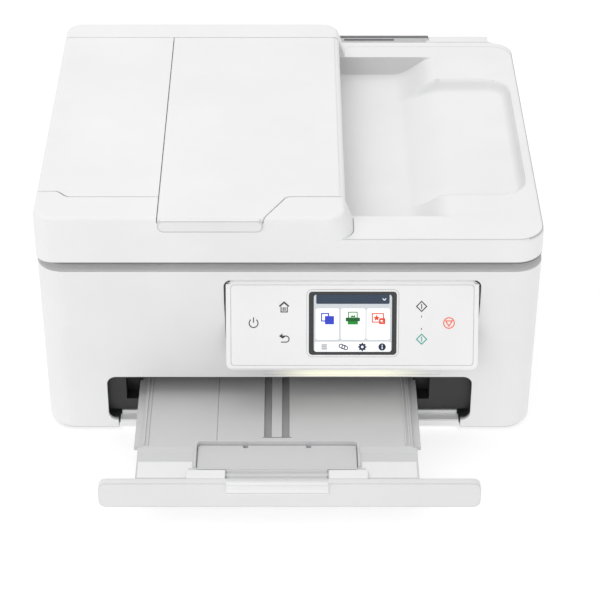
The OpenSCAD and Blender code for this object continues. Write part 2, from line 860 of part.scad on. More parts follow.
module pinch_rollers() {
  color(mid_grey) {
    rod_x(platen_left - 2, platen_right + 2, pinch_y, pinch_z, 1);
    for (i = [0 : 2]) {
      x = platen_left + 12 + i * (platen_span - 10) / 3;
      rod_x(x, x + (platen_span - 10) / 3 - 14, pinch_y, pinch_z, pinch_r);
    }
  }
}

module star_wheel_holder() {
  top = carriage_low - 1;
  z = roller_z + exit_r + 3.4;
  color(dark) {
    box(platen_left - 3, platen_right + 3, exit_y - 9, exit_y - 6, top - 6, top - 1);
    box(platen_left - 3, platen_right + 3, exit_y - 9, exit_y + 6, top - 2.5, top - 1);
    for (x = [platen_left - 3, platen_right])
      box(x, x + 3, exit_y - 9, exit_y - 5, roller_z, top - 1);
    for (x = [platen_left - 3, platen_right])
      box(x, x + 3, exit_y - 9, exit_y - 4.5, bed_z, roller_z + eps);
    for (i = [0 : 7]) {
      x = platen_left + 14 + i * (platen_span - 28) / 7;
      box(x - 2, x - 1, exit_y - 7, exit_y + 3, z - 1, top - 2);
      rod_x(x - 1 - eps, x + 0.3, exit_y, z, 0.8);
      // star wheel
      translate([x, exit_y, z]) rotate([90, 0, 90]) linear_extrude(0.3)
        for (k = [0 : 5]) rotate(k * 15) square(4.4, center = true);
    }
  }
}

module purge_unit() {
  y0 = bed_front + 2;
  x0 = platen_right + 8;
  color(dark) difference() {
    union() {
      box(x0, frame_x - 2, y0, bed_rear - 1, bed_z + bed_t, bed_z + bed_t + 8);
      box(x0 + 2, frame_x - 8, y0 + 2, bed_rear - 3, bed_z + bed_t + 8 - eps, bed_z + bed_t + 11);
    }
    box(x0 + 5, frame_x - 14, y0 + 5, bed_rear - 6, bed_z + bed_t + 9, far);
  }
  // one rubber cap under each head
  color(mid_grey) for (s = [-1, 1]) {
    x = bay_x(s);
    difference() {
      slab(x - 8.5, x + 8.5, y0 + 9, y0 + 27, bed_z + bed_t + 9, head_z - 0.5, 2);
      slab(x - 7, x + 7, y0 + 10.5, y0 + 25.5, head_z - 3, head_z, 1);
    }
  }
}

module ink_absorber() {
  color([0.9, 0.89, 0.85])
    slab(drawer_x + 5, frame_x - 1, exit_y - 8, feed_y + 60, pan_top, pan_top + 10, 3);
}

module feed_motor() {
  color(steel) {
    rod_x(-frame_x, -frame_x + 26, motor_y, motor_z, 12.5);
    rod_x(-frame_x + 26 - eps, -frame_x + 29, motor_y, motor_z, 4);
    rod_x(-frame_x - frame_t - 0.5, -frame_x + eps, motor_y, motor_z, 3);
  }
}

module motor_pinion() {
  color(steel) {
    gear_on(motor_y, motor_z, pinion_teeth, pinion_turn, eps);
    rod_x(gear_x, -frame_x - frame_t - 1, motor_y, motor_z, motor_shaft_r);
  }
}

module feed_gear() {
  color(soft_grey) difference() {
    gear_on(feed_y, roller_z, feed_teeth, 0, shaft_r);
    web_holes(feed_y, feed_rad);
  }
}

// tooth phases that put every pair in mesh at rest
idler_turn = mesh_turn(180, feed_teeth, 0, idler_teeth);
exit_turn = mesh_turn(180, idler_teeth, idler_turn, exit_teeth);
pinion_turn = mesh_turn(-motor_angle, feed_teeth, 0, pinion_teeth);

// turn of a follower's first tooth so that it meshes with a driver at the given direction
function mesh_turn(dir, t_drive, turn_drive, t_follow) =
  dir + 180 + 180 / t_follow + (dir - turn_drive) * t_drive / t_follow;

// round windows in a gear's web
module web_holes(y, r) {
  for (a = [0 : 60 : 300]) translate([gear_x - 1, y, roller_z]) rotate([90, 0, 90]) rotate(a)
    translate([r * 0.55, 0, 0]) cylinder(h = gear_w + 2, r = r * 0.17);
}

module idler_gear() {
  color(soft_grey) gear_on(idler_y, roller_z, idler_teeth, idler_turn, idler_pin_r + bore_gap);
}

module exit_gear() {
  color(soft_grey) difference() {
    gear_on(exit_y, roller_z, exit_teeth, exit_turn, exit_shaft_r);
    web_holes(exit_y, exit_rad);
  }
}

module feed_roller() {
  color(steel) {
    rod_x(gear_x - 0.5, frame_x + frame_t + 1.5, feed_y, roller_z, shaft_r);
    rod_x(platen_left, platen_right, feed_y, roller_z, feed_r);
  }
}

module exit_roller() {
  color(dark) {
    rod_x(gear_x - 0.5, platen_right + 4, exit_y, roller_z, exit_shaft_r);
    for (i = [0 : 7]) {
      x = platen_left + 14 + i * (platen_span - 28) / 7;
      rod_x(x - 5, x + 5, exit_y, roller_z, exit_r);
    }
  }
}

// --- carriage ---

// centre of the left or the right cartridge bay
function bay_x(s) = carriage_park + s * (bay_w / 2 + 1);

module carriage() {
  x0 = carriage_park - carriage_w / 2;
  x1 = carriage_park + carriage_w / 2;
  color(dark) difference() {
    union() {
      box(x0, x1, carriage_front, carriage_rear, carriage_low, carriage_top - 3);
      // shoes over and under the rail
      box(x0 + 6, x1 - 6, carriage_rear - eps, rail_y + 9, rail_top + 0.4, carriage_top);
      box(x0 + 6, x1 - 6, carriage_rear - 3, carriage_rear, carriage_top - 4, carriage_top);
      box(x0 + 6, x1 - 6, carriage_rear - eps, rail_y + 9, rail_low - 2, rail_low - 0.4);
      // belt clamp on the lower run
      box(carriage_park - 8, carriage_park + 8, carriage_rear - eps, belt_y + belt_w + 1,
        belt_z - pulley_r + 0.4, belt_z - pulley_r + 2.4);
      box(carriage_park - 8, carriage_park + 8, carriage_rear - eps, belt_y + belt_w + 1,
        belt_z - pulley_r - belt_t - 2.6, belt_z - pulley_r - belt_t - 0.5);
    }
    for (s = [-1, 1]) {
      cx = bay_x(s);
      // cartridge bay, open to the top and the front
      box(cx - bay_w / 2, cx + bay_w / 2, carriage_front - 1, carriage_rear - 3, carriage_low + 2, far);
      // window for the print head
      box(cx - 14, cx + 14, head_y0 - 1, head_y1 + 1, carriage_low - 1, carriage_low + 3);
    }
  }
  // low front wall with the lever posts
  color(dark) for (s = [-1, 1]) {
    cx = bay_x(s);
    difference() {
      union() {
        box(cx - bay_w / 2 - eps, cx + bay_w / 2 + eps, carriage_front, carriage_front + 2,
          carriage_low + 2 - eps, carriage_low + 10);
        for (x = [cx - bay_w / 2 - eps, cx + bay_w / 2 - 4])
          box(x, x + 4 + eps, carriage_front, carriage_front + 8, carriage_low + 2, lever_z + 4);
      }
      rod_x(cx - bay_w / 2 + 1, cx + bay_w / 2 - 1, lever_y, lever_z, lever_pin_r + bore_gap);
    }
  }
}

head_y0 = bed_front + 9;
head_y1 = head_y0 + 22;
lever_y = carriage_front + 4;
lever_z = carriage_top - 8;
lever_pin_r = 1.5;

module cartridge(s, tint) {
  cx = bay_x(s);
  h = bay_w / 2 - 1;
  low = carriage_low + 2;
  color(tint) {
    difference() {
      sweep_x(cx - h, cx + h) polygon([[carriage_front + 12, low], [carriage_rear - 4, low],
        [carriage_rear - 4, carriage_top - 6], [carriage_front + 16, carriage_top - 6],
        [carriage_front + 12, carriage_top - 12]]);
      // grip step in the lid
      box(cx - h + 5, cx + h - 5, carriage_front + 10, carriage_front + 20, carriage_top - 8, far);
    }
    // print head snout with its nozzle plate
    box(cx - 12, cx + 12, head_y0, head_y1, head_z + 0.6, low + eps);
    box(cx - 9, cx + 9, head_y0 + 3, head_y1 - 3, head_z, head_z + 0.6 + eps);
  }
}

module ink_cartridge_black() { cartridge(-1, black); }

module ink_cartridge_color() { cartridge(1, mid_grey); }

module lever(s, tint) {
  cx = bay_x(s);
  color(tint) {
    rod_x(cx - bay_w / 2 + 1.2, cx + bay_w / 2 - 1.2, lever_y, lever_z, lever_pin_r);
    rod_x(cx - bay_w / 2 + 4.4, cx + bay_w / 2 - 4.4, lever_y, lever_z, 3);
    sweep_x(cx - 9, cx + 9) polygon([[lever_y - 3, lever_z - 1], [lever_y + 5, lever_z + 2.4],
      [lever_y + 5, lever_z + 4.4], [lever_y - 2, lever_z + 3], [lever_y - 9, lever_z - 6],
      [lever_y - 9, lever_z - 9]]);
  }
}

module lock_lever_black() { lever(-1, soft_grey); }

module lock_lever_color() { lever(1, soft_grey); }

module pulley(x) {
  rod_y(belt_y - 0.6, belt_y + belt_w + 0.6, x, belt_z, pulley_r - 1.5);
  rod_y(belt_y, belt_y + belt_w, x, belt_z, pulley_r);
  rod_y(belt_y - 1.4, belt_y - 0.4, x, belt_z, pulley_r + 1.6);
  rod_y(belt_y + belt_w + 0.4, belt_y + belt_w + 1.4, x, belt_z, pulley_r + 1.6);
  rod_y(belt_y - 1.4, rail_back + 0.6, x, belt_z, 2);
}

module drive_pulley() { color(steel) pulley(-pulley_x); }

module tension_pulley() { color(mid_grey) pulley(pulley_x); }

module belt_loop(r, grow) {
  translate([-pulley_x, belt_z]) circle(r + grow);
  translate([pulley_x, belt_z]) circle(r + grow);
  translate([-pulley_x, belt_z - r - grow]) square([2 * pulley_x, 2 * (r + grow)]);
}

module carriage_belt() {
  color(black) sweep_y(belt_y, belt_y + belt_w) difference() {
    belt_loop(pulley_r + pulley_gap, belt_t);
    belt_loop(pulley_r + pulley_gap, 0);
  }
}

module carriage_motor() {
  y = rail_back;
  color(steel) difference() {
    union() {
      rod_y(y, y + 30, -pulley_x, belt_z, 13.5);
      rod_y(y + 30 - eps, y + 33, -pulley_x, belt_z, 4);
    }
    rod_y(y - 1, y + 8, -pulley_x, belt_z, 2.4);
  }
  // bearing of the tension pulley
  color(steel) difference() {
    box(pulley_x - 7, pulley_x + 7, y, y + 4, belt_z - 7, belt_z + 7);
    rod_y(y - 1, y + 5, pulley_x, belt_z, 2 + bore_gap);
  }
}

module encoder_strip() {
  color(glass_tint) box(-frame_x, frame_x, carriage_rear + 3, carriage_rear + 3.2, belt_z + 1, belt_z + 8);
}

// --- paper pickup ---

module pickup_arm() {
  color(mid_grey) difference() {
    union() {
      rod_x(paper_x - 26, paper_x + 26, arm_y, arm_z, arm_pin_r);
      rod_x(paper_x - 6, paper_x + 6, arm_y, arm_z, 5.5);
      sweep_x(paper_x - 4, paper_x + 4) polygon([[arm_y - 2, arm_z - 5], [pickup_y, pickup_z - 4.5],
        [pickup_y, pickup_z + 4.5], [arm_y + 2, arm_z + 5]]);
      rod_x(paper_x - 4, paper_x + 4, pickup_y, pickup_z, 4.5);
    }
    rod_x(paper_x - 5, paper_x + 5, pickup_y, pickup_z, 2 + bore_gap);
  }
}

module pickup_roller() {
  color(dark) {
    rod_x(paper_x - 17, paper_x + 17, pickup_y, pickup_z, 2);
    both_sides(paper_x)
      difference() {
        rod_x(4.8, 16, pickup_y, pickup_z, pickup_r);
        for (a = [0 : 20 : 340]) translate([0, pickup_y, pickup_z]) rotate([a, 0, 0])
          rod_x(4, 17, pickup_r + 0.2, 0, 0.7);
      }
  }
}

// --- paper drawer ---

guide_bed = drawer_stack + 0.2;

module paper_drawer() {
  dx = drawer_x;
  rear = drawer_end;
  front_low = foot_h + 0.3;
  color(white) {
    // front with the case's own bevel, face and ledge
    sweep_x(-dx, dx) polygon([[y_front + 2.6, front_low], [y_front, foot_h + bevel_h],
      [y_front, mouth_low - 0.8], [y_front + 0.8, mouth_low], [drawer_back, mouth_low],
      [drawer_back, front_low]]);
  }
  color(mid_grey) difference() {
    union() {
      box(-dx + 1, dx - 1, drawer_back - eps, rear, drawer_floor, drawer_stack);
      both_sides()
        box(dx - 3, dx - 1, drawer_back - eps, rear, drawer_floor, drawer_top);
      box(-dx + 1, dx - 1, drawer_back - eps, drawer_back + 2,
        drawer_floor, drawer_top);
      both_sides(paper_x)
        sweep_x(34, 100) polygon([[rear - 9, drawer_stack - eps], [rear - 3, drawer_stack + 5],
          [rear, drawer_stack + 5], [rear, drawer_stack - eps]]);
    }
    // slots of the side guides
    both_sides(paper_x) for (y = [-40, 20])
      box(37, 112, y - 3, y + 3, drawer_floor - 1, drawer_stack + 1);
  }
}

module drawer_guide(s) {
  translate([paper_x, 0, 0]) mirror([s, 0, 0]) color(soft_grey) {
    box(paper_w / 2, paper_w / 2 + 2, -70, 50, guide_bed, drawer_top - 0.2);
    box(paper_w / 2 - 18, paper_w / 2 + 6, -62, 42, guide_bed, guide_bed + 1);
    for (y = [-40, 20])
      box(paper_w / 2 - 12, paper_w / 2 - 2, y - 2.7, y + 2.7, drawer_floor + 0.3, guide_bed + eps);
  }
}

module drawer_guide_left() { drawer_guide(1); }

module drawer_guide_right() { drawer_guide(0); }

// --- output tray ---

pocket_x0 = paper_x - ext_half - 0.6;
pocket_x1 = paper_x + ext_half + 0.6;

module output_tray() {
  z0 = tray_top - tray_t;
  low = tray_top - 2.2;
  color(soft_grey) difference() {
    union() {
      box(tray_left, tray_right, apron_y, tray_end, z0, tray_top);
      // lowered apron behind the front bar
      sweep_x(tray_left - 3, tray_right + 3) polygon([[bar_back, low + 1], [bar_back + 4, low],
        [apron_y - 12, low], [apron_y - 5, low + 0.8], [apron_y - 1.5, tray_top - 0.5], [apron_y, tray_top],
        [apron_y, z0], [apron_y - 4, low - 3.4], [bar_back, low - 3.4]]);
      // tub of the extension's pocket
      box(pocket_x0 - 1.4, pocket_x1 + 1.4, bar_back, ext_axis_y + ext_len + 4, ext_z - 1.7, z0 + eps);
      // side tongues in the liner's grooves
      for (x = [tray_left - rail_tongue, tray_right - 2])
        box(x, x + rail_tongue + 2, apron_y + 4, tray_end, z0 - 3, z0 + eps);
      // low side ridges
      for (x = [tray_left + 1, tray_left + 3.6, tray_right - 5.6, tray_right - 3])
        box(x, x + 1.2, apron_y + 2, tray_end, tray_top - eps, tray_top + 0.8);
      // stiffening ribs
      for (x = [tray_left + 20, paper_x - 30, paper_x + 30, tray_right - 20])
        box(x - 1, x + 1, apron_y + 8, tray_end - 4, z0 - 3, z0 + eps);
    }
    // two finger grooves with a bar between them
    for (x = [paper_x - 7, paper_x + 6.4])
      slab(x - 2.8, x + 2.8, y_front - 55, y_front + 80, tray_top - 1.8, far, 0.5);
    box(paper_x - 45.2, paper_x - 44.8, apron_y + 8, tray_end + 1, tray_top - 0.4, far);
    // pocket of the extension, open below at its hinge
    slab(pocket_x0, pocket_x1, ext_axis_y + 5.5, ext_axis_y + ext_len + 2.6, ext_z - 0.4, far, 3);
    box(paper_x - neck_half - 0.4, paper_x + neck_half + 0.4, ext_axis_y - 4, ext_axis_y + 8, 0, far);
    rod_x(paper_x - neck_half - 6, paper_x + neck_half + 6, ext_axis_y, ext_axis_z, ext_pin_r + bore_gap);
  }
  // hinge blocks over the pocket's front corners
  color(soft_grey) both_sides(paper_x) difference() {
    box(neck_half + 0.4, ext_half + 6, ext_axis_y - 6.6, ext_axis_y + 5.5, ext_z - 1.7, tray_top - 0.4);
    rod_x(0, neck_half + 6, ext_axis_y, ext_axis_z, ext_pin_r + bore_gap);
  }
}

module tray_front() {
  color(white) difference() {
    union() {
      sweep_y(bar_front, bar_back) round_plan(-bar_w / 2, bar_w / 2, bar_low, tray_top, 5.5);
      // grip lip
      sweep_x(paper_x - 37, paper_x + 37) polygon([[bar_back, tray_top - 3], [bar_back, tray_top],
        [bar_front - 1.6, tray_top], [bar_front - 2.4, tray_top - 1], [bar_front - 2.4, tray_top - 8],
        [bar_front - 1, tray_top - 9], [bar_front + eps, tray_top - 9], [bar_front + eps, tray_top - 3]]);
    }
    // hollow back
    difference() {
      box(-bar_w / 2 + 4, bar_w / 2 - 4, bar_front + 2.2, bar_back + 1, bar_low + 2, tray_top - 2.5);
      box(tray_left - 3, tray_right + 3, bar_front, bar_back + 2, ext_z - 2, far);
    }
  }
}

module tray_extension() {
  color(soft_grey) difference() {
    union() {
      slab(paper_x - ext_half, paper_x + ext_half, ext_axis_y + 7, ext_axis_y + ext_len + 2, ext_z,
        ext_z + ext_t, 2.5);
      // neck that reaches between the hinge blocks
      slab(paper_x - neck_half, paper_x + neck_half, ext_axis_y - 3, ext_axis_y + 12, ext_z, ext_z + ext_t,
        2);
      rod_x(paper_x - neck_half, paper_x + neck_half, ext_axis_y, ext_axis_z, ext_knuckle_r);
      rod_x(paper_x - neck_half - 4, paper_x + neck_half + 4, ext_axis_y, ext_axis_z, ext_pin_r);
    }
    for (s = [-1, 1])
      box(paper_x + s * 23.5 - 1.8, paper_x + s * 23.5 + 1.8, ext_axis_y + ext_len - 1, far, 0, far);
  }
}

// --- control panel, modelled closed and then tilted ---

module tilted() {
  translate([0, panel_axis_y, panel_axis_z]) rotate([-panel_tilt, 0, 0])
    translate([0, -panel_axis_y, -panel_axis_z]) children();
}

fascia_t = 1.8;
fascia_in = 3.6;
fascia_low = panel_bottom + fascia_in;
fascia_top = panel_axis_z + panel_barrel - fascia_in - 2;

module panel_housing() {
  back = y_front + panel_t;
  color(white) tilted() difference() {
    union() {
      intersection() {
        union() {
          rod_x(panel_left + panel_barrel, panel_right - panel_barrel, panel_axis_y, panel_axis_z,
            panel_barrel);
          for (x = [panel_left + panel_barrel, panel_right - panel_barrel])
            translate([x, panel_axis_y, panel_axis_z]) sphere(panel_barrel);
          sweep_x(panel_left, panel_right) polygon([[y_front, panel_axis_z], [y_front, panel_bottom + 1.5],
            [y_front + 1.5, panel_bottom], [back - 3, panel_bottom], [back, panel_bottom + 3],
            [back, panel_axis_z - 9], [panel_axis_y + panel_barrel, panel_axis_z]]);
        }
        sweep_y(y_front - 1, back + 1) round_plan(panel_left, panel_right, panel_bottom,
          panel_axis_z + 3 * panel_barrel, panel_r);
      }
      rod_x(panel_left - panel_pin_len - seam, panel_right + panel_pin_len + seam,
        panel_axis_y, panel_axis_z, panel_pin_r);
    }
    // seat of the fascia and the hollow behind it
    translate([0, y_front - 1, 0]) sweep_fascia(fascia_t + 1, 0);
    translate([0, y_front + fascia_t - 1, 0]) sweep_fascia(panel_t - fascia_t - 1, 3);
  }
}

// face outline with rounded corners, extruded backwards
module sweep_fascia(depth, inset) {
  sweep_y(0, depth) round_plan(panel_left + fascia_in + inset, panel_right - fascia_in - inset,
    fascia_low + inset, fascia_top - inset, 2.5);
}

module screen_plan(grow) {
  x0 = panel_left + screen_left;
  z1 = panel_axis_z + panel_barrel - screen_top;
  round_plan(x0 - grow, x0 + screen_w + grow, z1 - screen_len - grow, z1 + grow, 2 + grow);
}

module panel_fascia() {
  color(white) tilted() difference() {
    translate([0, y_front, 0]) sweep_y(0, fascia_t - 0.05)
      round_plan(panel_left + fascia_in + 0.15, panel_right - fascia_in - 0.15, fascia_low + 0.15,
        fascia_top - 0.15, 2.5);
    sweep_y(y_front - 1, y_front + panel_t) screen_plan(0.1);
  }
}

module touch_screen() {
  color(black) tilted() {
    sweep_y(y_front + 0.2, y_front + fascia_t - 0.05) screen_plan(0);
    sweep_y(y_front + fascia_t - 0.05 - eps, y_front + 6) screen_plan(-1.5);
    // display board on the housing's back
    box(panel_left + 30, panel_right - 30, y_front + 6 - eps, y_front + 7.6,
      panel_bottom + 10, panel_axis_z - 8);
    for (x = [panel_left + 36, panel_right - 36], z = [panel_bottom + 14, panel_axis_z - 14])
      rod_y(y_front + 7.5, y_front + panel_t - 2, x, z, 2.5);
  }
}

// --- scanner ---

module scanner_base() {
  color(white) difference() {
    union() {
      // flange that slopes up from the rim
      difference() {
        hull() {
          posts(gap - x_half, x_half - gap, y_front + gap, scan_axis_y + 40, flange_z, 0.5, corner_r);
          posts(flange_in - x_half, x_half - flange_in, y_front + flange_in, scan_axis_y + 40,
            flange_top - eps, eps, corner_r - 6);
        }
        box(-far, far, scan_axis_y - 4, far, 0, far);
      }
      box(-scan_barrel_x, scan_barrel_x, tub_rear - 2, scan_axis_y, scan_axis_z - scan_hinge_r, flange_top);
      rod_x(-scan_barrel_x, scan_barrel_x, scan_axis_y, scan_axis_z, scan_hinge_r);
      rod_x(-scan_barrel_x - scan_pin_len, scan_barrel_x + scan_pin_len, scan_axis_y, scan_axis_z,
        scan_pin_r);
      slab(-tub_x, tub_x, tub_front, tub_rear, tub_z, flange_z + 1, 8);
      box(-tub_x + 11, tub_x - 11, in_front + 5, tub_front + 10, recess_top + recess_wall + 0.9,
        flange_z + 1);
    }
    // hollow tub, the window under the glass and the seat of the bezel
    slab(-tub_x + tub_t, tub_x - tub_t, tub_front + tub_t, tub_rear - tub_t, tub_z + tub_t,
      bezel_z - 4, 6);
    box(-tub_x + tub_t + 5, tub_x - tub_t - 5, tub_front + tub_t + 2, bezel_rear - 12, tub_z + tub_t, far);
    slab(-bezel_x - 0.2, bezel_x + 0.2, bezel_front - 0.2, bezel_rear + 0.2, bezel_z, far, corner_r - 8);
  }
  // saddles of the rail
  color(white) both_sides() difference() {
    box(tub_x - tub_t - 8, tub_x - tub_t + eps, -8, 8, tub_z + tub_t - eps, scan_rail_z);
    rod_x(0, tub_x - tub_t - eps, 0, scan_rail_z, scan_rail_r);
  }
  // hinge cheeks of the upper cover
  color(white) both_sides()
    for (x = [hinge_x - hinge_arm_w / 2 - 0.4 - hinge_cheek, hinge_x + hinge_arm_w / 2 + 0.4])
      difference() {
        union() {
          rod_x(x, x + hinge_cheek, cover_axis_y, cover_axis_z, cover_hinge_r);
          box(x, x + hinge_cheek, cover_axis_y - cover_hinge_r, cover_axis_y + 8, flange_top - eps,
            cover_axis_z);
          sweep_x(x, x + hinge_cheek) polygon([[cover_axis_y, cover_axis_z + cover_hinge_r],
            [cover_axis_y + 8, cover_axis_z + 2], [cover_axis_y + 12, flange_top - eps],
            [cover_axis_y, flange_top]]);
        }
        rod_x(x - 1, x + hinge_cheek + 1, cover_axis_y, cover_axis_z, cover_pin_r + bore_gap);
      }
}

module glass_windows(grow) {
  x1 = platen_x0 + platen_len;
  box(strip_x - strip_w / 2 - grow, strip_x + strip_w / 2 + grow, platen_y - platen_w / 2 - grow,
    platen_y + platen_w / 2 + grow, 0, far);
  box(platen_x0 - grow, x1 + grow, platen_y - platen_w / 2 - grow, platen_y + platen_w / 2 + grow, 0, far);
}

module scanner_bezel() {
  color(white) difference() {
    slab(-bezel_x, bezel_x, bezel_front, bezel_rear, bezel_z, bezel_z + bezel_t, corner_r - 8);
    intersection() {
      glass_windows(0.3);
      box(-far, far, -far, far, 0, bezel_z + glass_lip);
    }
    glass_windows(-2.5);
  }
}

module glass_panes() {
  color(glass_tint) intersection() {
    glass_windows(0);
    box(-far, far, -far, far, glass_z, glass_z + glass_t);
  }
}

module scan_carriage() {
  x0 = strip_x - scan_head_w / 2;
  color(dark) difference() {
    union() {
      box(x0, x0 + scan_head_w, platen_y - platen_w / 2 - 5, platen_y + platen_w / 2 + 5, scan_head_z,
        scan_head_top);
      box(x0, x0 + scan_head_w, -9, 9, scan_rail_z - 5.6, scan_head_z + eps);
    }
    rod_x(x0 - 1, x0 + scan_head_w + 1, 0, scan_rail_z, scan_rail_r + bore_gap);
    // light slot under the glass
    box(strip_x - 2, strip_x + 2, platen_y - platen_w / 2, platen_y + platen_w / 2, scan_head_top - 2, far);
  }
}

module scan_rail() {
  color(steel) rod_x(-tub_x + tub_t, tub_x - tub_t, 0, scan_rail_z, scan_rail_r);
}

// --- upper cover ---

// feeder block outline, used by the shell and by the two covers that close it
module feeder_block(inset) {
  r = corner_r - inset;
  hull() {
    x0 = inset - x_half;
    x1 = feeder_right - side_lean - inset;
    y0 = y_front + inset;
    y1 = cover_rear - inset;
    posts(x0, feeder_right - inset + 1, y0, y1, cover_z, plate_z - cover_z, min(r, 14));
    posts(x0, feeder_right - inset, y0, y1, plate_z, eps, min(r, 14));
    posts(x0, x1, y0, y1, top_z - edge_r - inset - 1, eps, min(r, 14));
    for (a = [30, 60, 90]) {
      in = edge_r * (1 - cos(a));
      posts(x0 + in, x1 - in, y0 + in, y1 - in,
        top_z - inset - edge_r * (1 - sin(a)) - eps, eps, min(r, 14) - in);
    }
  }
}

// plan of the document tray with its slanted front corner
module lid_plan(grow) {
  polygon([[lid_left - grow, lid_rear + grow], [lid_left - grow, y_front - 6],
    [lip_right + grow - 1.5, y_front - 6], [lip_right + grow - 1.5, y_front - 0.5],
    [lip_right + 15.2 + grow, lid_front - 2 - grow], [lip_right + 18.5, lid_front - grow],
    [lid_axis_x, lid_front - grow], [lid_axis_x, lid_rear + grow]]);
}

// plan of the feeder cover with the curved step of its front edge
module flap_plan(grow) {
  step = flap_front - lid_front;
  step_x = 15 - x_half;
  polygon(concat(
    [[-far, lid_rear + grow], [-far, flap_front - grow]],
    [for (i = [0 : 8]) [step_x + 11 * i / 8 - 2 * grow, flap_front - step * ease(i / 8) - grow]],
    [[lid_left - seam, lid_front - grow], [lid_left - seam, lid_rear + grow]]));
}

module cover_shell() {
  color(white) difference() {
    union() {
      difference() {
        soft_block(-x_half, x_half, y_front, cover_rear, cover_z, plate_z - 0.4, corner_r, 2.5);
        slab(-x_half + wall, x_half - wall, y_front + wall, cover_rear - wall, cover_z + lip_t,
          plate_z - 4, corner_r - wall);
        slab(-x_half + 8.5, x_half - 8.5, y_front + 8, cover_rear - 8, 0, far, corner_r - 8);
        slab(feeder_right - 12, x_half - rim_w, y_front + rim_w, cover_rear - rim_w, plate_z - 4.2, far,
          corner_r - rim_w);
      }
      difference() {
        feeder_block(0);
        difference() {
          feeder_block(wall);
          // bulkheads that carry the hinge pins
          box(-far, far, lid_front - bulkhead_t - seam, lid_front - seam, cover_z, far);
          box(-far, far, lid_rear + seam, lid_rear + seam + bulkhead_t, cover_z, far);
          box(-far, -173, lid_front - bulkhead_t - seam, flap_front - seam, plate_z + 1, far);
        }
        slab(-x_half + 8.5, feeder_right - 9, y_front + 8, cover_rear - 8, 0, cover_z + 4, corner_r - 8);
      }
    }
    // mouth under the two covers
    translate([0, 0, flap_axis_z - flap_knuckle_r - gap]) linear_extrude(far)
      flap_plan(seam);
    translate([0, 0, top_z - lid_t - 3.6]) linear_extrude(far) intersection() {
      lid_plan(seam);
      translate([-far, lid_front - seam]) square([2 * far, lid_rear - lid_front + 2 * seam]);
    }
    translate([0, 0, top_z - lid_t - 0.4]) linear_extrude(far) lid_plan(seam);
    // open right end over the recess
    box(feeder_right - 14, feeder_right + 10, outlet_front - 1, outlet_rear + 1, 0, top_z - lid_t - 3.5);
    box(lid_axis_x - 5, feeder_right + 10, lid_front - seam, lid_rear + seam, plate_z - 4, far);
    // document plate bay and the reading slot
    box(feeder_right - 14, insert_x + 0.2, insert_front - 0.2, insert_rear + 0.2, 0, cover_z - eps);
    rod_y(lid_front - 2.4, lid_rear + 2.4, lid_axis_x, lid_axis_z, lid_pin_r + bore_gap);
    rod_y(flap_front - 3.2, lid_rear + 3.2, flap_axis_x, flap_axis_z, flap_pin_r + bore_gap);
    for (p = [[turn_roller_x, turn_roller_z], [pick_roller_x, pick_roller_z]])
      rod_y(lid_front - bulkhead_t - 1, lid_rear + bulkhead_t + 1, p[0], p[1], roller_shaft_r + bore_gap);
  }
}

module cover_base() {
  color(soft_grey) difference() {
    union() {
      slab(-x_half + 8, x_half - 8, y_front + 7.5, cover_rear - 7.5, base_z, cover_z, corner_r - 8);
      both_sides() {
        box(hinge_x - hinge_arm_w / 2, hinge_x + hinge_arm_w / 2, cover_rear - 14, cover_axis_y,
          flange_top + swing_gap, cover_z - 0.2);
        rod_x(hinge_x - hinge_arm_w / 2, hinge_x + hinge_arm_w / 2, cover_axis_y, cover_axis_z,
          cover_hinge_r);
        rod_x(hinge_x - hinge_arm_w / 2 - 5.5, hinge_x + hinge_arm_w / 2 + 5.5, cover_axis_y,
          cover_axis_z, cover_pin_r);
      }
    }
    // reading slot under the turn roller
    box(strip_x - 8, strip_x + 8, roller_y0 + 4, roller_y1 - 4, 0, far);
  }
}

module pressing_sheet() {
  color([0.97, 0.97, 0.97]) slab(platen_x0 - 3, platen_x0 + platen_len - 2, platen_y - platen_w / 2 - 4,
    platen_y + platen_w / 2 + 4, sheet_z, base_z, 4);
}

// profile of the short recess, in X and Z, from the exit slot to the plate
module short_profile() {
  flat = outlet_step - 32;
  polygon(concat(
    [[outlet_left - 30, plate_z + 20], [outlet_left - 30, outlet_floor]],
    [for (i = [0 : 10]) [flat + 32 * i / 10, outlet_floor + outlet_deep * ease(i / 10)]],
    [[outlet_step, plate_z + 20]]));
}

// profile of the long recess
module long_profile() {
  mid = outlet_floor + outlet_deep * 0.62;
  polygon(concat(
    [[outlet_left - 30, plate_z + 20], [outlet_left - 30, outlet_floor]],
    [for (i = [0 : 8]) [86 + 44 * i / 8, outlet_floor + (mid - outlet_floor) * ease(i / 8)]],
    [for (i = [1 : 8]) [outlet_end - 14 + 14 * i / 8, mid + (plate_z - mid) * ease(i / 8)]],
    [[outlet_end, plate_z + 20]]));
}

module document_outlet() {
  color(soft_grey) difference() {
    union() {
      slab(feeder_right + 2.4, insert_x, insert_front, insert_rear, cover_z + lip_t + gap, plate_z,
        corner_r - rim_w);
      box(feeder_right + 2.4, feeder_right + 30, insert_front, insert_rear, cover_z + lip_t + gap, plate_z);
      box(feeder_right + 2.4, outlet_step, outlet_front - 2, outlet_rear + 2, cover_z + gap, plate_z);
      box(outlet_left, feeder_right + 10, outlet_front - 0.4, outlet_rear + 0.4, cover_z + gap,
        outlet_floor);
    }
    sweep_y(outlet_front, outlet_rear) short_profile();
    intersection() {
      sweep_y(outlet_low, outlet_high) long_profile();
      hull() {
        posts(outlet_left - 40, outlet_end, outlet_low, outlet_high, plate_z, 1, 16);
        posts(outlet_left - 40, outlet_end - outlet_slope, outlet_low + outlet_slope,
          outlet_high - outlet_slope, outlet_floor - 1, eps, 16);
      }
    }
  }
  feeder_path();
}

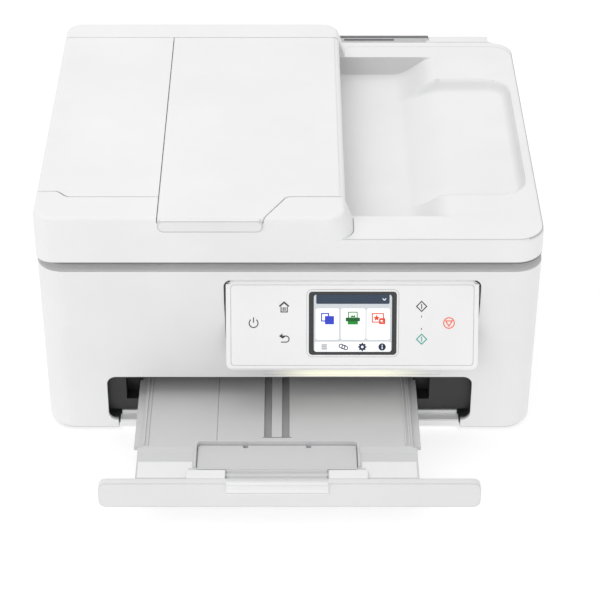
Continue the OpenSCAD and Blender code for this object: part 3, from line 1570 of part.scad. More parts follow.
// sloping plate under the document tray and the ramp that leads over the turn roller
module feeder_path() {
  x1 = lid_axis_x - 7;
  x0 = pick_roller_x + 12;
  high = lid_axis_z - 6.6;
  low = pick_roller_z - pick_roller_r - 1.5;
  color(soft_grey) {
    sweep_y(path_front, path_rear) polygon([[x1, high], [x0, low], [x0 - 20, low + 1],
      [x0 - 42, high + 1.4], [x0 - 43, high], [x0 - 21, low - 1], [x0, low - 2], [x1, high - 2]]);
    for (y = [path_front, path_rear - 2]) sweep_y(y, y + 2) polygon([[outlet_left + 2, cover_z + gap],
      [outlet_left + 2, cover_z + 4], [x1, high - 1], [x0, low - 1], [x0, cover_z + gap]]);
  }
}

module feed_shaft(x, z, r) {
  rod_y(lid_front - seam - 2.4, lid_rear + seam + 2.4, x, z, roller_shaft_r);
  rod_y(roller_y0, roller_y1, x, z, r);
}

module turn_roller() { color(dark) feed_shaft(turn_roller_x, turn_roller_z, turn_roller_r); }

module pick_roller() { color(dark) feed_shaft(pick_roller_x, pick_roller_z, pick_roller_r); }

module feeder_cover() {
  rib_deep = 1.6;
  color(white) difference() {
    union() {
      intersection() {
        difference() {
          feeder_block(0);
          feeder_block(wall);
        }
        translate([0, 0, flap_axis_z]) linear_extrude(far) flap_plan(0);
      }
      rod_y(flap_front + 0.1, lid_rear - 0.1, flap_axis_x, flap_axis_z, flap_knuckle_r);
      rod_y(flap_front - 2.8, lid_rear + 2.8, flap_axis_x, flap_axis_z, flap_pin_r);
      // guide ribs above the turn roller
      for (y = [-120 : 24 : 72])
        box(-176, lid_left - 4, y, y + 1.5, top_z - wall - rib_deep, top_z - wall + 0.5);
    }
    rod_y(-200, 200, turn_roller_x, turn_roller_z, turn_roller_r + 2.5);
    rod_y(-200, 200, pick_roller_x, pick_roller_z, pick_roller_r + 1);
  }
}

module document_tray() {
  color(white) difference() {
    union() {
      intersection() {
        feeder_block(0);
        translate([0, 0, top_z - lid_t]) linear_extrude(far) lid_plan(0);
      }
      // finger lip over the front face
      sweep_y(y_front - lip_out, y_front - gap) round_plan(lid_left + 0.1, lip_right - 1,
        top_z - lip_drop, top_z - 0.6, 4.5);
      box(lid_left + 2, lip_right - 3, y_front - lip_out, y_front + 4, top_z - lid_t, top_z - 0.6);
      rod_y(lid_front + 0.2, lid_rear - 0.2, lid_axis_x, lid_axis_z, lid_knuckle_r);
      rod_y(lid_front - 2.2, lid_rear + 2.2, lid_axis_x, lid_axis_z, lid_pin_r);
    }
    // slots for the paper guides in the under face
    for (x = [-60, -10]) box(x - 3, x + 3, guide_mid - guide_span / 2 - 4, guide_mid + guide_span / 2 + 4,
      top_z - lid_t - 1, top_z - lid_t + 1.4);
  }
}

module document_guide(s) {
  z1 = top_z - lid_t - 0.3;
  translate([0, guide_mid, 0]) mirror([0, s, 0]) color(soft_grey) {
    box(-84, 14, guide_span / 2, guide_span / 2 + 2, z1 - 7, z1);
    box(-84, 14, guide_span / 2 - 12, guide_span / 2 + 2, z1 - 1.2, z1);
    for (x = [-60, -10]) box(x - 2.6, x + 2.6, guide_span / 2 - 10, guide_span / 2, z1 - eps, z1 + 1.2);
  }
}

module document_guide_front() { document_guide(1); }

module document_guide_rear() { document_guide(0); }

// --- electrics ---

module power_supply() {
  color(black) difference() {
    union() {
      slab(-in_x + 2, -drawer_x - 11, 40, in_rear - 26, pan_top, psu_top, 3);
      box(inlet_x - 12, inlet_x + 12, in_rear - 26 - eps, y_rear - 0.3, inlet_z - 8, inlet_z + 8);
    }
    rod_y(y_rear - 10, far, inlet_x - 4.2, inlet_z, 4.2);
    rod_y(y_rear - 10, far, inlet_x + 4.2, inlet_z, 4.2);
    box(inlet_x - 4.2, inlet_x + 4.2, y_rear - 10, far, inlet_z - 4.2, inlet_z + 4.2);
  }
  color(steel) for (s = [-1, 1]) rod_y(y_rear - 10 - eps, y_rear - 3, inlet_x + s * 4.3, inlet_z, 1.2);
}

module main_board() {
  color([0.1, 0.35, 0.18]) box(board_x, board_x + board_t, 60, in_rear - 1, 22, 96);
  color(mid_grey) {
    for (y = [70, 150], z = [28, 90]) rod_x(board_x + board_t - eps, in_x - 0.2, y, z, 3);
    box(board_x - 3, board_x + eps, 90, 112, 50, 72);
    box(board_x - 6, board_x + eps, 125, 135, 60, 84);
    for (i = [0 : 4]) rod_x(board_x - 10, board_x + eps, 78 + i * 14, 34, 4);
  }
  // computer socket that reaches the rear wall
  color(steel) difference() {
    union() {
      box(usb_x - 6, usb_x + 6, in_rear - 14, y_rear - 0.4, usb_z - 5.5, usb_z + 5.5);
      box(usb_x, board_x + eps, in_rear - 14, in_rear - 2, usb_z - 5.5, usb_z + 5.5);
    }
    box(usb_x - 4, usb_x + 4, y_rear - 9, far, usb_z - 4, usb_z + 4);
  }
}

// --- assembly ---

main_case();
base_pan();
rubber_feet();
rear_cover();
opening_liner();
light_bar();
side_frames();
carriage_rail();
paper_platen();
paper_turn_guide();
pinch_holder();
star_wheel_holder();
purge_unit();
ink_absorber();
feed_motor();
carriage_motor();
carriage_belt();
encoder_strip();
main_board();
power_supply();
feed_roller();
feed_gear();
pinch_rollers();
exit_roller();
exit_gear();
idler_gear();
motor_pinion();
carriage();
ink_cartridge_black();
ink_cartridge_color();
lock_lever_black();
lock_lever_color();
drive_pulley();
tension_pulley();
pickup_arm();
pickup_roller();
paper_drawer();
drawer_guide_left();
drawer_guide_right();
output_tray();
tray_front();
tray_extension();
panel_housing();
panel_fascia();
touch_screen();
scanner_base();
scanner_bezel();
glass_panes();
scan_carriage();
scan_rail();
cover_shell();
cover_base();
pressing_sheet();
document_outlet();
turn_roller();
pick_roller();
feeder_cover();
document_tray();
document_guide_front();
document_guide_rear();
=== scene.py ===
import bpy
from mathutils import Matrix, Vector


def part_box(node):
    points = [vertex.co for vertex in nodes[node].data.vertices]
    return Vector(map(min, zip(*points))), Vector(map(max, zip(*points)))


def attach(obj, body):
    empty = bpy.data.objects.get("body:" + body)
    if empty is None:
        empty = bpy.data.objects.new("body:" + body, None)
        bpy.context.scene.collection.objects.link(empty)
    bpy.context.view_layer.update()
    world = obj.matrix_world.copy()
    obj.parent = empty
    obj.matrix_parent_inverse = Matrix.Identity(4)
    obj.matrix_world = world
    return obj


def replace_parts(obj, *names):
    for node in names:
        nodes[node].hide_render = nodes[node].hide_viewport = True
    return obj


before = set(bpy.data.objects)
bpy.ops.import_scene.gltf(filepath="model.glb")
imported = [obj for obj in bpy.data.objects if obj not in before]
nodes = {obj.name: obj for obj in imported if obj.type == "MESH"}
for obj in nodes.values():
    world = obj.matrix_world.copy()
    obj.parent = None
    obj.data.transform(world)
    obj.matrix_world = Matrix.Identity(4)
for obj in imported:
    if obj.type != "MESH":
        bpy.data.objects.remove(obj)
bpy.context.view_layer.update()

import math

import bmesh
import bpy
from mathutils import Matrix, Vector

MM = 0.001
scene = bpy.context.scene
scene.view_settings.view_transform = "Standard"

# ---------------------------------------------------------------- camera

CAMERA_PLACE = (0.0, -1.489, 1.012)
CAMERA_PITCH = math.radians(34.25)  # below the horizon
CAMERA_LENS = 126.96  # mm, on a sensor 36 mm wide
CAMERA_SHIFT = 0.0175  # share of the picture's width by which the object stands left of the middle

camera = bpy.data.objects.new("camera", bpy.data.cameras.new("camera"))
scene.collection.objects.link(camera)
scene.camera = camera
camera.location = CAMERA_PLACE
camera.rotation_euler = (math.pi / 2 - CAMERA_PITCH, 0, 0)
camera.data.sensor_width = 36
camera.data.lens = CAMERA_LENS
camera.data.shift_x = CAMERA_SHIFT
camera.data.clip_start = 0.05

# ---------------------------------------------------------------- shader helpers

MOTTLE = 14  # scale of the noise that shifts a plastic's shade
GRAIN = 2600  # scale of the noise of its fine grain
RELIEF = 0.00003  # height of the fine grain on moulded and rolled surfaces, in metres


def srgb(value):
    """Linear colour of an 8-bit screen colour."""
    def channel(c):
        c /= 255
        return c / 12.92 if c <= 0.04045 else ((c + 0.055) / 1.055) ** 2.4
    return tuple(channel(c) for c in value)


def scaled(colour, factor):
    return [min(1, c * factor) for c in colour]


def new_material(name):
    mat = bpy.data.materials.new(name)
    mat.use_nodes = True
    return mat, mat.node_tree, mat.node_tree.nodes["Principled BSDF"]


def noise(tree, scale, detail=3.0, rough=0.55, stretch=(1, 1, 1)):
    """Noise in the object's own coordinates, which are metres."""
    place = tree.nodes.new("ShaderNodeTexCoord")
    mapping = tree.nodes.new("ShaderNodeMapping")
    mapping.inputs["Scale"].default_value = stretch
    texture = tree.nodes.new("ShaderNodeTexNoise")
    texture.inputs["Scale"].default_value = scale
    texture.inputs["Detail"].default_value = detail
    texture.inputs["Roughness"].default_value = rough
    tree.links.new(place.outputs["Object"], mapping.inputs["Vector"])
    tree.links.new(mapping.outputs["Vector"], texture.inputs["Vector"])
    return texture.outputs["Fac"]


def ramp(tree, fac, low, high, lo=0.3, hi=0.7):
    """Colour that goes from low to high as fac goes from lo to hi."""
    node = tree.nodes.new("ShaderNodeValToRGB")
    node.color_ramp.elements[0].position = lo
    node.color_ramp.elements[0].color = (*low, 1)
    node.color_ramp.elements[1].position = hi
    node.color_ramp.elements[1].color = (*high, 1)
    tree.links.new(fac, node.inputs["Fac"])
    return node.outputs["Color"]


def map_range(tree, value, lo, hi, start, end, interpolation="LINEAR"):
    """Number that goes from start to end as value goes from lo to hi."""
    node = tree.nodes.new("ShaderNodeMapRange")
    node.interpolation_type = interpolation
    for key, number in (("From Min", lo), ("From Max", hi), ("To Min", start), ("To Max", end)):
        node.inputs[key].default_value = number
    tree.links.new(value, node.inputs["Value"])
    return node.outputs["Result"]


def spread(tree, fac, low, high):
    """Number that follows a noise, whose values lie mostly between 0.3 and 0.7."""
    return map_range(tree, fac, 0.3, 0.7, low, high)


def coordinate(tree, kind, axis):
    """One axis of the object's own place ("Object") or direction ("Normal")."""
    place = tree.nodes.new("ShaderNodeTexCoord")
    axes = tree.nodes.new("ShaderNodeSeparateXYZ")
    tree.links.new(place.outputs[kind], axes.inputs["Vector"])
    return axes.outputs[axis]


def times(tree, a, b):
    node = tree.nodes.new("ShaderNodeMath")
    node.operation = "MULTIPLY"
    tree.links.new(a, node.inputs[0])
    tree.links.new(b, node.inputs[1])
    return node.outputs["Value"]


def bump(tree, bsdf, height, strength, distance=RELIEF, soft=0.0):
    """Fine relief on the surface, over edges that are rounded by the radius soft."""
    node = tree.nodes.new("ShaderNodeBump")
    if soft:
        edges = tree.nodes.new("ShaderNodeBevel")
        edges.samples = 4
        edges.inputs["Radius"].default_value = soft
        tree.links.new(edges.outputs["Normal"], node.inputs["Normal"])
    node.inputs["Strength"].default_value = strength
    node.inputs["Distance"].default_value = distance
    tree.links.new(height, node.inputs["Height"])
    tree.links.new(node.outputs["Normal"], bsdf.inputs["Normal"])


# ---------------------------------------------------------------- kinds of material


def plastic(name, colour, rough=0.5, grain=GRAIN, depth=0.25, coat=0.0, soft=0.0006):
    """Moulded plastic: a fine spark-eroded grain, slow shifts in shade and in gloss."""
    mat, tree, bsdf = new_material(name)
    base = srgb(colour)
    shade = 0.02  # share by which the colour shifts
    tree.links.new(ramp(tree, noise(tree, MOTTLE), scaled(base, 1 - shade), scaled(base, 1 + shade)),
                   bsdf.inputs["Base Color"])
    tree.links.new(spread(tree, noise(tree, 45), rough - 0.04, rough + 0.05), bsdf.inputs["Roughness"])
    bump(tree, bsdf, noise(tree, grain, detail=2), depth, soft=soft)
    bsdf.inputs["Coat Weight"].default_value = coat
    bsdf.inputs["Coat Roughness"].default_value = 0.15
    return mat


def steep(mat, deepest_shade):
    """Painted shade: darkens the colour of steep walls, by the object's own upright direction."""
    tree = mat.node_tree
    colour = tree.nodes["Principled BSDF"].inputs["Base Color"]
    mix = tree.nodes.new("ShaderNodeVectorMath")
    mix.operation = "SCALE"
    tree.links.new(colour.links[0].from_socket, mix.inputs[0])
    upright = coordinate(tree, "Normal", "Z")
    tree.links.new(map_range(tree, upright, 0.25, 1.0, deepest_shade, 1.0), mix.inputs["Scale"])
    tree.links.new(mix.outputs["Vector"], colour)


def metal(name, colour, rough=0.32, stretch=(1, 1, 1)):
    """Rolled steel sheet and turned shafts: streaks along one direction."""
    mat, tree, bsdf = new_material(name)
    base = srgb(colour)
    streak = noise(tree, 420, stretch=stretch)
    tree.links.new(ramp(tree, streak, scaled(base, 0.9), base), bsdf.inputs["Base Color"])
    tree.links.new(spread(tree, streak, rough - 0.07, rough + 0.08), bsdf.inputs["Roughness"])
    bump(tree, bsdf, streak, 0.12)
    bsdf.inputs["Metallic"].default_value = 1.0
    return mat


def rubber(name, colour):
    """Matt rubber with a coarser grain."""
    mat, tree, bsdf = new_material(name)
    base = srgb(colour)
    fine = noise(tree, 1500, detail=4)
    tree.links.new(ramp(tree, fine, scaled(base, 0.8), scaled(base, 1.2)), bsdf.inputs["Base Color"])
    tree.links.new(spread(tree, fine, 0.72, 0.88), bsdf.inputs["Roughness"])
    bump(tree, bsdf, fine, 0.35, 2 * RELIEF)
    return mat


def clear(name, tint, rough=0.02, ior=1.5):
    """Glass or film with faint smears."""
    mat, tree, bsdf = new_material(name)
    smear = noise(tree, 30)
    tree.links.new(ramp(tree, smear, scaled(tint, 0.985), tint), bsdf.inputs["Base Color"])
    tree.links.new(spread(tree, smear, rough, rough + 0.02), bsdf.inputs["Roughness"])
    bsdf.inputs["Transmission Weight"].default_value = 1.0
    bsdf.inputs["IOR"].default_value = ior
    return mat


def lit(name, colour, strength, rough=0.25):
    """A colour on the lit display or a printed key: a trace of pixel grain under a smooth cover."""
    mat, tree, bsdf = new_material(name)
    base = srgb(colour)
    fine = noise(tree, 900, detail=1)
    tree.links.new(ramp(tree, fine, scaled(base, 0.96), base), bsdf.inputs["Base Color"])
    bsdf.inputs["Emission Color"].default_value = (*base, 1)
    bsdf.inputs["Emission Strength"].default_value = strength
    bsdf.inputs["Roughness"].default_value = rough
    return mat


def felt(name, colour):
    """Pressed fibres."""
    mat, tree, bsdf = new_material(name)
    base = srgb(colour)
    fibre = noise(tree, 700, detail=6, rough=0.75, stretch=(1, 3, 1))
    tree.links.new(ramp(tree, fibre, scaled(base, 0.75), base), bsdf.inputs["Base Color"])
    bsdf.inputs["Roughness"].default_value = 0.95
    bsdf.inputs["Sheen Weight"].default_value = 0.4
    bump(tree, bsdf, fibre, 0.6, 10 * RELIEF)
    return mat


def circuit(name):
    """Green solder resist with paler tracks under it."""
    mat, tree, bsdf = new_material(name)
    place = tree.nodes.new("ShaderNodeTexCoord")
    tracks = tree.nodes.new("ShaderNodeTexBrick")
    tracks.inputs["Scale"].default_value = 130
    tracks.inputs["Mortar Size"].default_value = 0.06
    tracks.inputs["Color1"].default_value = (0.012, 0.09, 0.035, 1)
    tracks.inputs["Color2"].default_value = (0.010, 0.075, 0.03, 1)
    tracks.inputs["Mortar"].default_value = (0.03, 0.19, 0.07, 1)
    tree.links.new(place.outputs["Object"], tracks.inputs["Vector"])
    tree.links.new(tracks.outputs["Color"], bsdf.inputs["Base Color"])
    bump(tree, bsdf, tracks.outputs["Fac"], 0.3)
    bsdf.inputs["Roughness"].default_value = 0.35
    return mat


def glow_on_white(name, rise, fall, height):
    """White plastic with emission for a lamp's light: on the lamp itself, and painted light on the plastic
    around it.

    The glow grows over rise and fades over fall along x, and fades upward over height, all in metres.
    """
    mat, tree, bsdf = new_material(name)
    along = times(tree, map_range(tree, coordinate(tree, "Object", "X"), *rise, 0, 0.5, "SMOOTHSTEP"),
                  map_range(tree, coordinate(tree, "Object", "X"), *fall, 1, 0, "SMOOTHSTEP"))
    upward = map_range(tree, coordinate(tree, "Object", "Z"), *height, 1, 0, "SMOOTHSTEP")
    tree.links.new(times(tree, along, upward), bsdf.inputs["Emission Strength"])
    bsdf.inputs["Emission Color"].default_value = (*srgb((255, 253, 200)), 1)
    tree.links.new(ramp(tree, noise(tree, MOTTLE), srgb((237, 237, 237)), srgb((243, 243, 243))),
                   bsdf.inputs["Base Color"])
    bump(tree, bsdf, noise(tree, GRAIN, detail=2), 0.25)
    bsdf.inputs["Roughness"].default_value = 0.45
    return mat


# ---------------------------------------------------------------- materials

WHITE = plastic("white_shell", (243, 243, 243))
# White of the recess, with painted shade darkening its steep walls.
RECESS_WHITE_PAINTED_SHADE = plastic("recess_white_painted_shade", (243, 243, 243))
steep(RECESS_WHITE_PAINTED_SHADE, 0.76)
# The white scanner base, darkened to grey as painted shade in the gap under the cover.
SCANNER_WHITE_SHADED = plastic("scanner_white_shaded", (210, 210, 210))
LID_WHITE = plastic("lid_white", (243, 243, 243), soft=0.0016)
WHITE_FRONT = plastic("white_front", (240, 240, 240), rough=0.42)
PANEL_WHITE = plastic("panel_white", (250, 250, 250), rough=0.34, grain=3200, depth=0.12)
# White of the front bar, darker than the same white on its grip lip: painted shade.
BAR_WHITE_SHADED = plastic("bar_white_shaded", (232, 232, 232), rough=0.45, soft=0.0014)
# White of the finger lip's face, a little darker: painted shade.
LIP_WHITE_SHADED = plastic("lip_white_shaded", (238, 238, 238))
# Grey of seam lines, also used for painted shade lines.
EDGE_AND_SHADE_GREY = plastic("edge_and_shade_grey", (205, 205, 206))
# Dark grey of seams, also used for painted shadow.
SEAM_AND_SHADOW_GREY = plastic("seam_and_shadow_grey", (120, 121, 123))
# Grey of painted shade in the tray's channels.
CHANNEL_SHADE_GREY = plastic("channel_shade_grey", (163, 163, 164))
TRAY_GREY = plastic("tray_grey", (214, 214, 215))
LIGHT_GREY = plastic("light_grey", (224, 224, 225))
COVER_GREY = plastic("cover_grey", (238, 238, 238))
MID_GREY = plastic("mid_grey", (128, 130, 133))
DECK_GREY = plastic("deck_grey", (226, 226, 227))
DARK = plastic("dark_plastic", (52, 53, 55), rough=0.48, depth=0.4)
BLACK = plastic("black_plastic", (38, 38, 39), rough=0.42, depth=0.4)
RUBBER = rubber("rubber", (44, 44, 46))
STEEL = metal("zinc_steel", (176, 180, 184), stretch=(0.2, 4, 4))
SHAFT = metal("ground_steel", (196, 199, 202), rough=0.22, stretch=(0.1, 6, 6))
BRASS = metal("brass", (196, 160, 92), rough=0.28)
GLASS = clear("float_glass", (0.93, 0.97, 0.95))
FILM = clear("encoder_film", (0.62, 0.62, 0.58), rough=0.08, ior=1.3)
SCREEN = plastic("screen_cover", (58, 58, 60), rough=0.16, grain=800, depth=0.03, coat=0.3)
SHEET = plastic("white_sheet", (246, 246, 246), rough=0.7, grain=900, depth=0.2)
FELT = felt("ink_felt", (228, 226, 216))
BOARD = circuit("circuit_board")
GLOW = glow_on_white("glow_fade", rise=(-0.020, 0.022), fall=(0.066, 0.112), height=(0.0515, 0.072))

INK = lit("sign_grey", (62, 62, 64), 0.05, rough=0.35)
TEAL = lit("sign_teal", (38, 160, 146), 0.18, rough=0.35)
ORANGE = lit("sign_orange", (238, 92, 52), 0.18, rough=0.35)
PAGE = lit("display_page", (208, 213, 217), 0.16)
TILE = lit("display_tile", (255, 255, 255), 0.3)
BAR = lit("display_bar", (50, 66, 86), 0.12)
NAVY = lit("display_navy", (22, 40, 74), 0.1)
GREEN = lit("display_green", (14, 140, 44), 0.2)
DEEP_GREEN = lit("display_deep_green", (8, 96, 34), 0.15)
RED = lit("display_red", (224, 66, 28), 0.2)
BLUE = lit("display_blue", (48, 66, 200), 0.2)

LOOKS = {
    WHITE: "rear_cover cover_shell feeder_cover scanner_bezel",
    LID_WHITE: "document_tray",
    WHITE_FRONT: "main_case paper_drawer",
    BAR_WHITE_SHADED: "tray_front",
    PANEL_WHITE: "panel_fascia panel_housing",
    TRAY_GREY: "output_tray tray_extension drawer_guide_left drawer_guide_right",
    RECESS_WHITE_PAINTED_SHADE: "document_outlet",
    SCANNER_WHITE_SHADED: "scanner_base",
    COVER_GREY: "cover_base document_guide_front document_guide_rear",
    LIGHT_GREY: "feed_gear exit_gear idler_gear lock_lever_black lock_lever_color",
    MID_GREY: "base_pan pickup_arm tension_pulley ink_cartridge_color",
    DARK: "paper_platen paper_turn_guide pinch_holder star_wheel_holder purge_unit carriage scan_carriage "
          "power_supply",
    BLACK: "opening_liner ink_cartridge_black",
    RUBBER: "rubber_feet pinch_rollers exit_roller pickup_roller carriage_belt turn_roller pick_roller",
    STEEL: "side_frames carriage_rail feed_motor carriage_motor scan_rail",
    SHAFT: "feed_roller drive_pulley",
    BRASS: "motor_pinion",
    GLASS: "glass_panes",
    FILM: "encoder_strip",
    SCREEN: "touch_screen",
    SHEET: "pressing_sheet",
    FELT: "ink_absorber",
    BOARD: "main_board",
    GLOW: "light_bar",
}
for mat, names in LOOKS.items():
    for name in names.split():
        slots = nodes[name].data.materials
        slots.clear()
        slots.append(mat)

# ---------------------------------------------------------------- shape helpers

STANDING = Matrix.Rotation(math.pi / 2, 4, "X")  # drawing plane that faces the front: y becomes z
SIDEWAYS = Matrix(((0, 0, 1), (1, 0, 0), (0, 1, 0))).to_4x4()  # drawn as (y, z), thick along x


def at(x, y, z):
    """Move by a number of millimetres."""
    return Matrix.Translation(Vector((x, y, z)) * MM)


def facing_front(y):
    """Drawing plane of (x, z) at the depth y; a plate on it grows toward the front."""
    return at(0, y, 0) @ STANDING


def place_mesh(name, mesh, mat, body, matrix=None):
    """Object from a mesh, in one material, that rides a body of the frame."""
    if matrix is not None:
        mesh.transform(matrix)
    mesh.materials.clear()
    mesh.materials.append(mat)
    obj = bpy.data.objects.new(name, mesh)
    scene.collection.objects.link(obj)
    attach(obj, body)
    return obj


def flat(name, loops, mat, body, matrix, thick=0.1, edge=0.0):
    """Plate from closed loops of (x, y) in mm; a loop inside another is a hole.

    It grows from the drawing plane, and edge is the radius of its rounded edges.
    """
    curve = bpy.data.curves.new(name, "CURVE")
    curve.dimensions = "2D"
    curve.fill_mode = "BOTH"
    curve.extrude = (thick / 2 - edge) * MM
    curve.bevel_depth = edge * MM
    curve.bevel_resolution = 2
    curve.offset = -edge * MM
    for loop in loops:
        spline = curve.splines.new("POLY")
        spline.points.add(len(loop) - 1)
        for point, (x, y) in zip(spline.points, loop):
            point.co = (x * MM, y * MM, 0, 1)
        spline.use_cyclic_u = True
    carrier = bpy.data.objects.new(name + "_curve", curve)
    scene.collection.objects.link(carrier)
    mesh = bpy.data.meshes.new_from_object(carrier.evaluated_get(bpy.context.evaluated_depsgraph_get()))
    bpy.data.objects.remove(carrier)
    mesh.name = name
    return place_mesh(name, mesh, mat, body, matrix @ at(0, 0, thick / 2))


def arc(cx, cy, r, start, end, count):
    """Points on an arc between two angles in degrees."""
    angles = [math.radians(start + (end - start) * i / count) for i in range(count + 1)]
    return [(cx + r * math.cos(angle), cy + r * math.sin(angle)) for angle in angles]


def disc(cx, cy, r):
    return arc(cx, cy, r, 0, 360, 32)[:-1]


def rounded(x0, x1, y0, y1, r):
    """Rectangle between x0 and x1, y0 and y1, with corners of radius r."""
    return (arc(x1 - r, y1 - r, r, 0, 90, 6) + arc(x0 + r, y1 - r, r, 90, 180, 6)
            + arc(x0 + r, y0 + r, r, 180, 270, 6) + arc(x1 - r, y0 + r, r, 270, 360, 6))


def block(cx, cy, width, height, r):
    """Rounded rectangle about its centre."""
    return rounded(cx - width / 2, cx + width / 2, cy - height / 2, cy + height / 2, r)


def frame_loops(x0, x1, y0, y1, r, width):
    """Loops of a frame inside a rounded rectangle."""
    return [rounded(x0, x1, y0, y1, r),
            rounded(x0 + width, x1 - width, y0 + width, y1 - width, max(r - width, 0.05))]


def grown(box, by):
    """Rectangle that lies outside another all round."""
    x0, x1, y0, y1 = box
    return x0 - by, x1 + by, y0 - by, y1 + by


def offset_line(points, distance, closed):
    """Points moved sideways by a distance, with mitred corners."""
    count = len(points)
    moved = []
    for i, p in enumerate(points):
        before = points[i - 1] if i or closed else None
        after = points[(i + 1) % count] if i < count - 1 or closed else None
        normals = []
        for a, b in ((before, p), (p, after)):
            if a is not None and b is not None:
                d = Vector((b[0] - a[0], b[1] - a[1])).normalized()
                normals.append(Vector((-d.y, d.x)))
        n = sum(normals, Vector((0, 0))).normalized()
        reach = distance / max(n.dot(normals[0]), 0.35)  # at most about 2.9 times the distance
        moved.append((p[0] + n.x * reach, p[1] + n.y * reach))
    return moved


def stroke(points, width, closed=False):
    """Loops of a line of one width."""
    left = offset_line(points, width / 2, closed)
    right = offset_line(points, -width / 2, closed)
    return [left, right] if closed else [left + right[::-1]]


# ---------------------------------------------------------------- document recess

PLATE = 176.0  # height of the cover's plate
PLATE_BOX = (34.0, 187.3, -181.8, 129.8)  # its left, right, front and rear
PLATE_CORNER = 19.8
PLATE_EDGE = 0.9  # visible thickness of the plate over the cover's rim
RECESS_DEEP = 18.3
SHORT_Y = (-150.0, 103.0)  # front and rear wall of the short part
SHORT_RISE = (88.0, 123.0)  # where its floor rises to the plate
SHORT_STEEP = 1.3  # width of the steep upper part of its walls
SHORT_STEEP_SHARE = 0.8  # share of the depth that the steep part takes
SHORT_STEEP_START = 0.08  # share of the steep part that lies behind the wall's edge
SHORT_FOOT = 6.0  # width of the curve at the foot of its walls
LONG_Y = (-117.0, 64.0)  # front and rear edge of the long part
LONG_RISE = (84.0, 132.0)  # where its floor rises
LONG_SHALLOW = 0.52  # share of the depth that it loses past its rise
LONG_END = 180.8
LONG_CORNER = 20.0
LONG_SLOPE = 10.0  # width of its sloped walls
LONG_CURVE = 2.6  # how much these are curved, with 1 for a straight slope
BLEND = 5.0  # difference in depth below which the two parts run into each other

# Grid over the plate: stops, each with the number of steps that lead to it, with short steps over the curves.
GRID_X = ((84.0, 12), (134.0, 25), (160.0, 9), (182.0, 22), (PLATE_BOX[1], 3))
GRID_Y = ((-157.0, 8), (-150.0, 3), (-148.0, 12), (-100.0, 18), (-94.0, 1), (42.0, 24), (60.0, 9),
          (101.0, 16), (103.0, 12), (110.0, 3), (PLATE_BOX[3], 8))


def clamp(t):
    return min(max(t, 0), 1)


def ease(t):
    """Goes from 0 to 1 with t, slowly at both ends."""
    return (1 - math.cos(math.pi * clamp(t))) / 2


def settle(t, power):
    """Goes from 0 to 1 with t, slowly at the end."""
    return 1 - (1 - clamp(t)) ** power


def part_way(x, stretch):
    """How far x lies along a stretch, from 0 to 1 inside it."""
    return (x - stretch[0]) / (stretch[1] - stretch[0])


def inside_long(x, y):
    """Distance of a point inside the long part's outline, whose right corners are rounded."""
    dx = LONG_END - x
    dy = min(y - LONG_Y[0], LONG_Y[1] - y)
    if dx < LONG_CORNER and dy < LONG_CORNER:
        return LONG_CORNER - math.hypot(LONG_CORNER - dx, LONG_CORNER - dy)
    return min(dx, dy)


def short_depth(x, y):
    inside = min(y - SHORT_Y[0], SHORT_Y[1] - y)
    if inside <= 0:
        return 0.0
    wall = (SHORT_STEEP_SHARE * ease(inside / SHORT_STEEP + SHORT_STEEP_START)
            + (1 - SHORT_STEEP_SHARE) * settle(inside / SHORT_FOOT, 2))
    return RECESS_DEEP * (1 - ease(part_way(x, SHORT_RISE))) * wall


def long_depth(x, y):
    slope = settle(inside_long(x, y) / LONG_SLOPE, LONG_CURVE)
    return RECESS_DEEP * (1 - LONG_SHALLOW * ease(part_way(x, LONG_RISE))) * slope


def recess_depth(x, y):
    """Depth below the plate: that of the deeper part, and a little more where the two are about as deep."""
    short = short_depth(x, y)
    long = long_depth(x, y)
    near = max(BLEND - abs(short - long), 0) / BLEND
    both = max(short, long) + near ** 3 * BLEND / 6 * min(short, long) / RECESS_DEEP
    return min(both, RECESS_DEEP)


def on_plate(x, y):
    """A grid point drawn in to the plate's rounded right corners."""
    cx = PLATE_BOX[1] - PLATE_CORNER
    cy = min(max(y, PLATE_BOX[2] + PLATE_CORNER), PLATE_BOX[3] - PLATE_CORNER)
    far = math.hypot(x - cx, y - cy)
    if x > cx and far > PLATE_CORNER:
        return cx + (x - cx) * PLATE_CORNER / far, cy + (y - cy) * PLATE_CORNER / far
    return x, y


def grid_lines(first, stops):
    lines = [first]
    for stop, count in stops:
        start = lines[-1]
        lines += [start + (stop - start) * k / count for k in range(1, count + 1)]
    return lines


def recess_surface():
    """The plate with its recess, as a grid whose rim is drawn down over the cover."""
    bm = bmesh.new()
    grid = {}
    for i, x in enumerate(grid_lines(PLATE_BOX[0], GRID_X)):
        for j, y in enumerate(grid_lines(PLATE_BOX[2], GRID_Y)):
            px, py = on_plate(x, y)
            grid[i, j] = bm.verts.new(Vector((px, py, PLATE - recess_depth(px, py))) * MM)
    for i, j in list(grid):
        corners = [grid.get(k) for k in ((i, j), (i + 1, j), (i + 1, j + 1), (i, j + 1))]
        if all(corners):
            bm.faces.new(corners)
    rim = [edge for edge in bm.edges if edge.is_boundary]
    for vert in bmesh.ops.extrude_edge_only(bm, edges=rim)["geom"]:
        if isinstance(vert, bmesh.types.BMVert):
            vert.co.z -= PLATE_EDGE * MM
    bmesh.ops.recalc_face_normals(bm, faces=bm.faces)
    mesh = bpy.data.meshes.new("recess_surface")
    bm.to_mesh(mesh)
    bm.free()
    mesh.shade_smooth()
    mesh.set_sharp_from_angle(angle=math.radians(50))
    return place_mesh("recess_surface", mesh, RECESS_WHITE_PAINTED_SHADE, "upper_cover")


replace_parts(recess_surface(), "document_outlet")

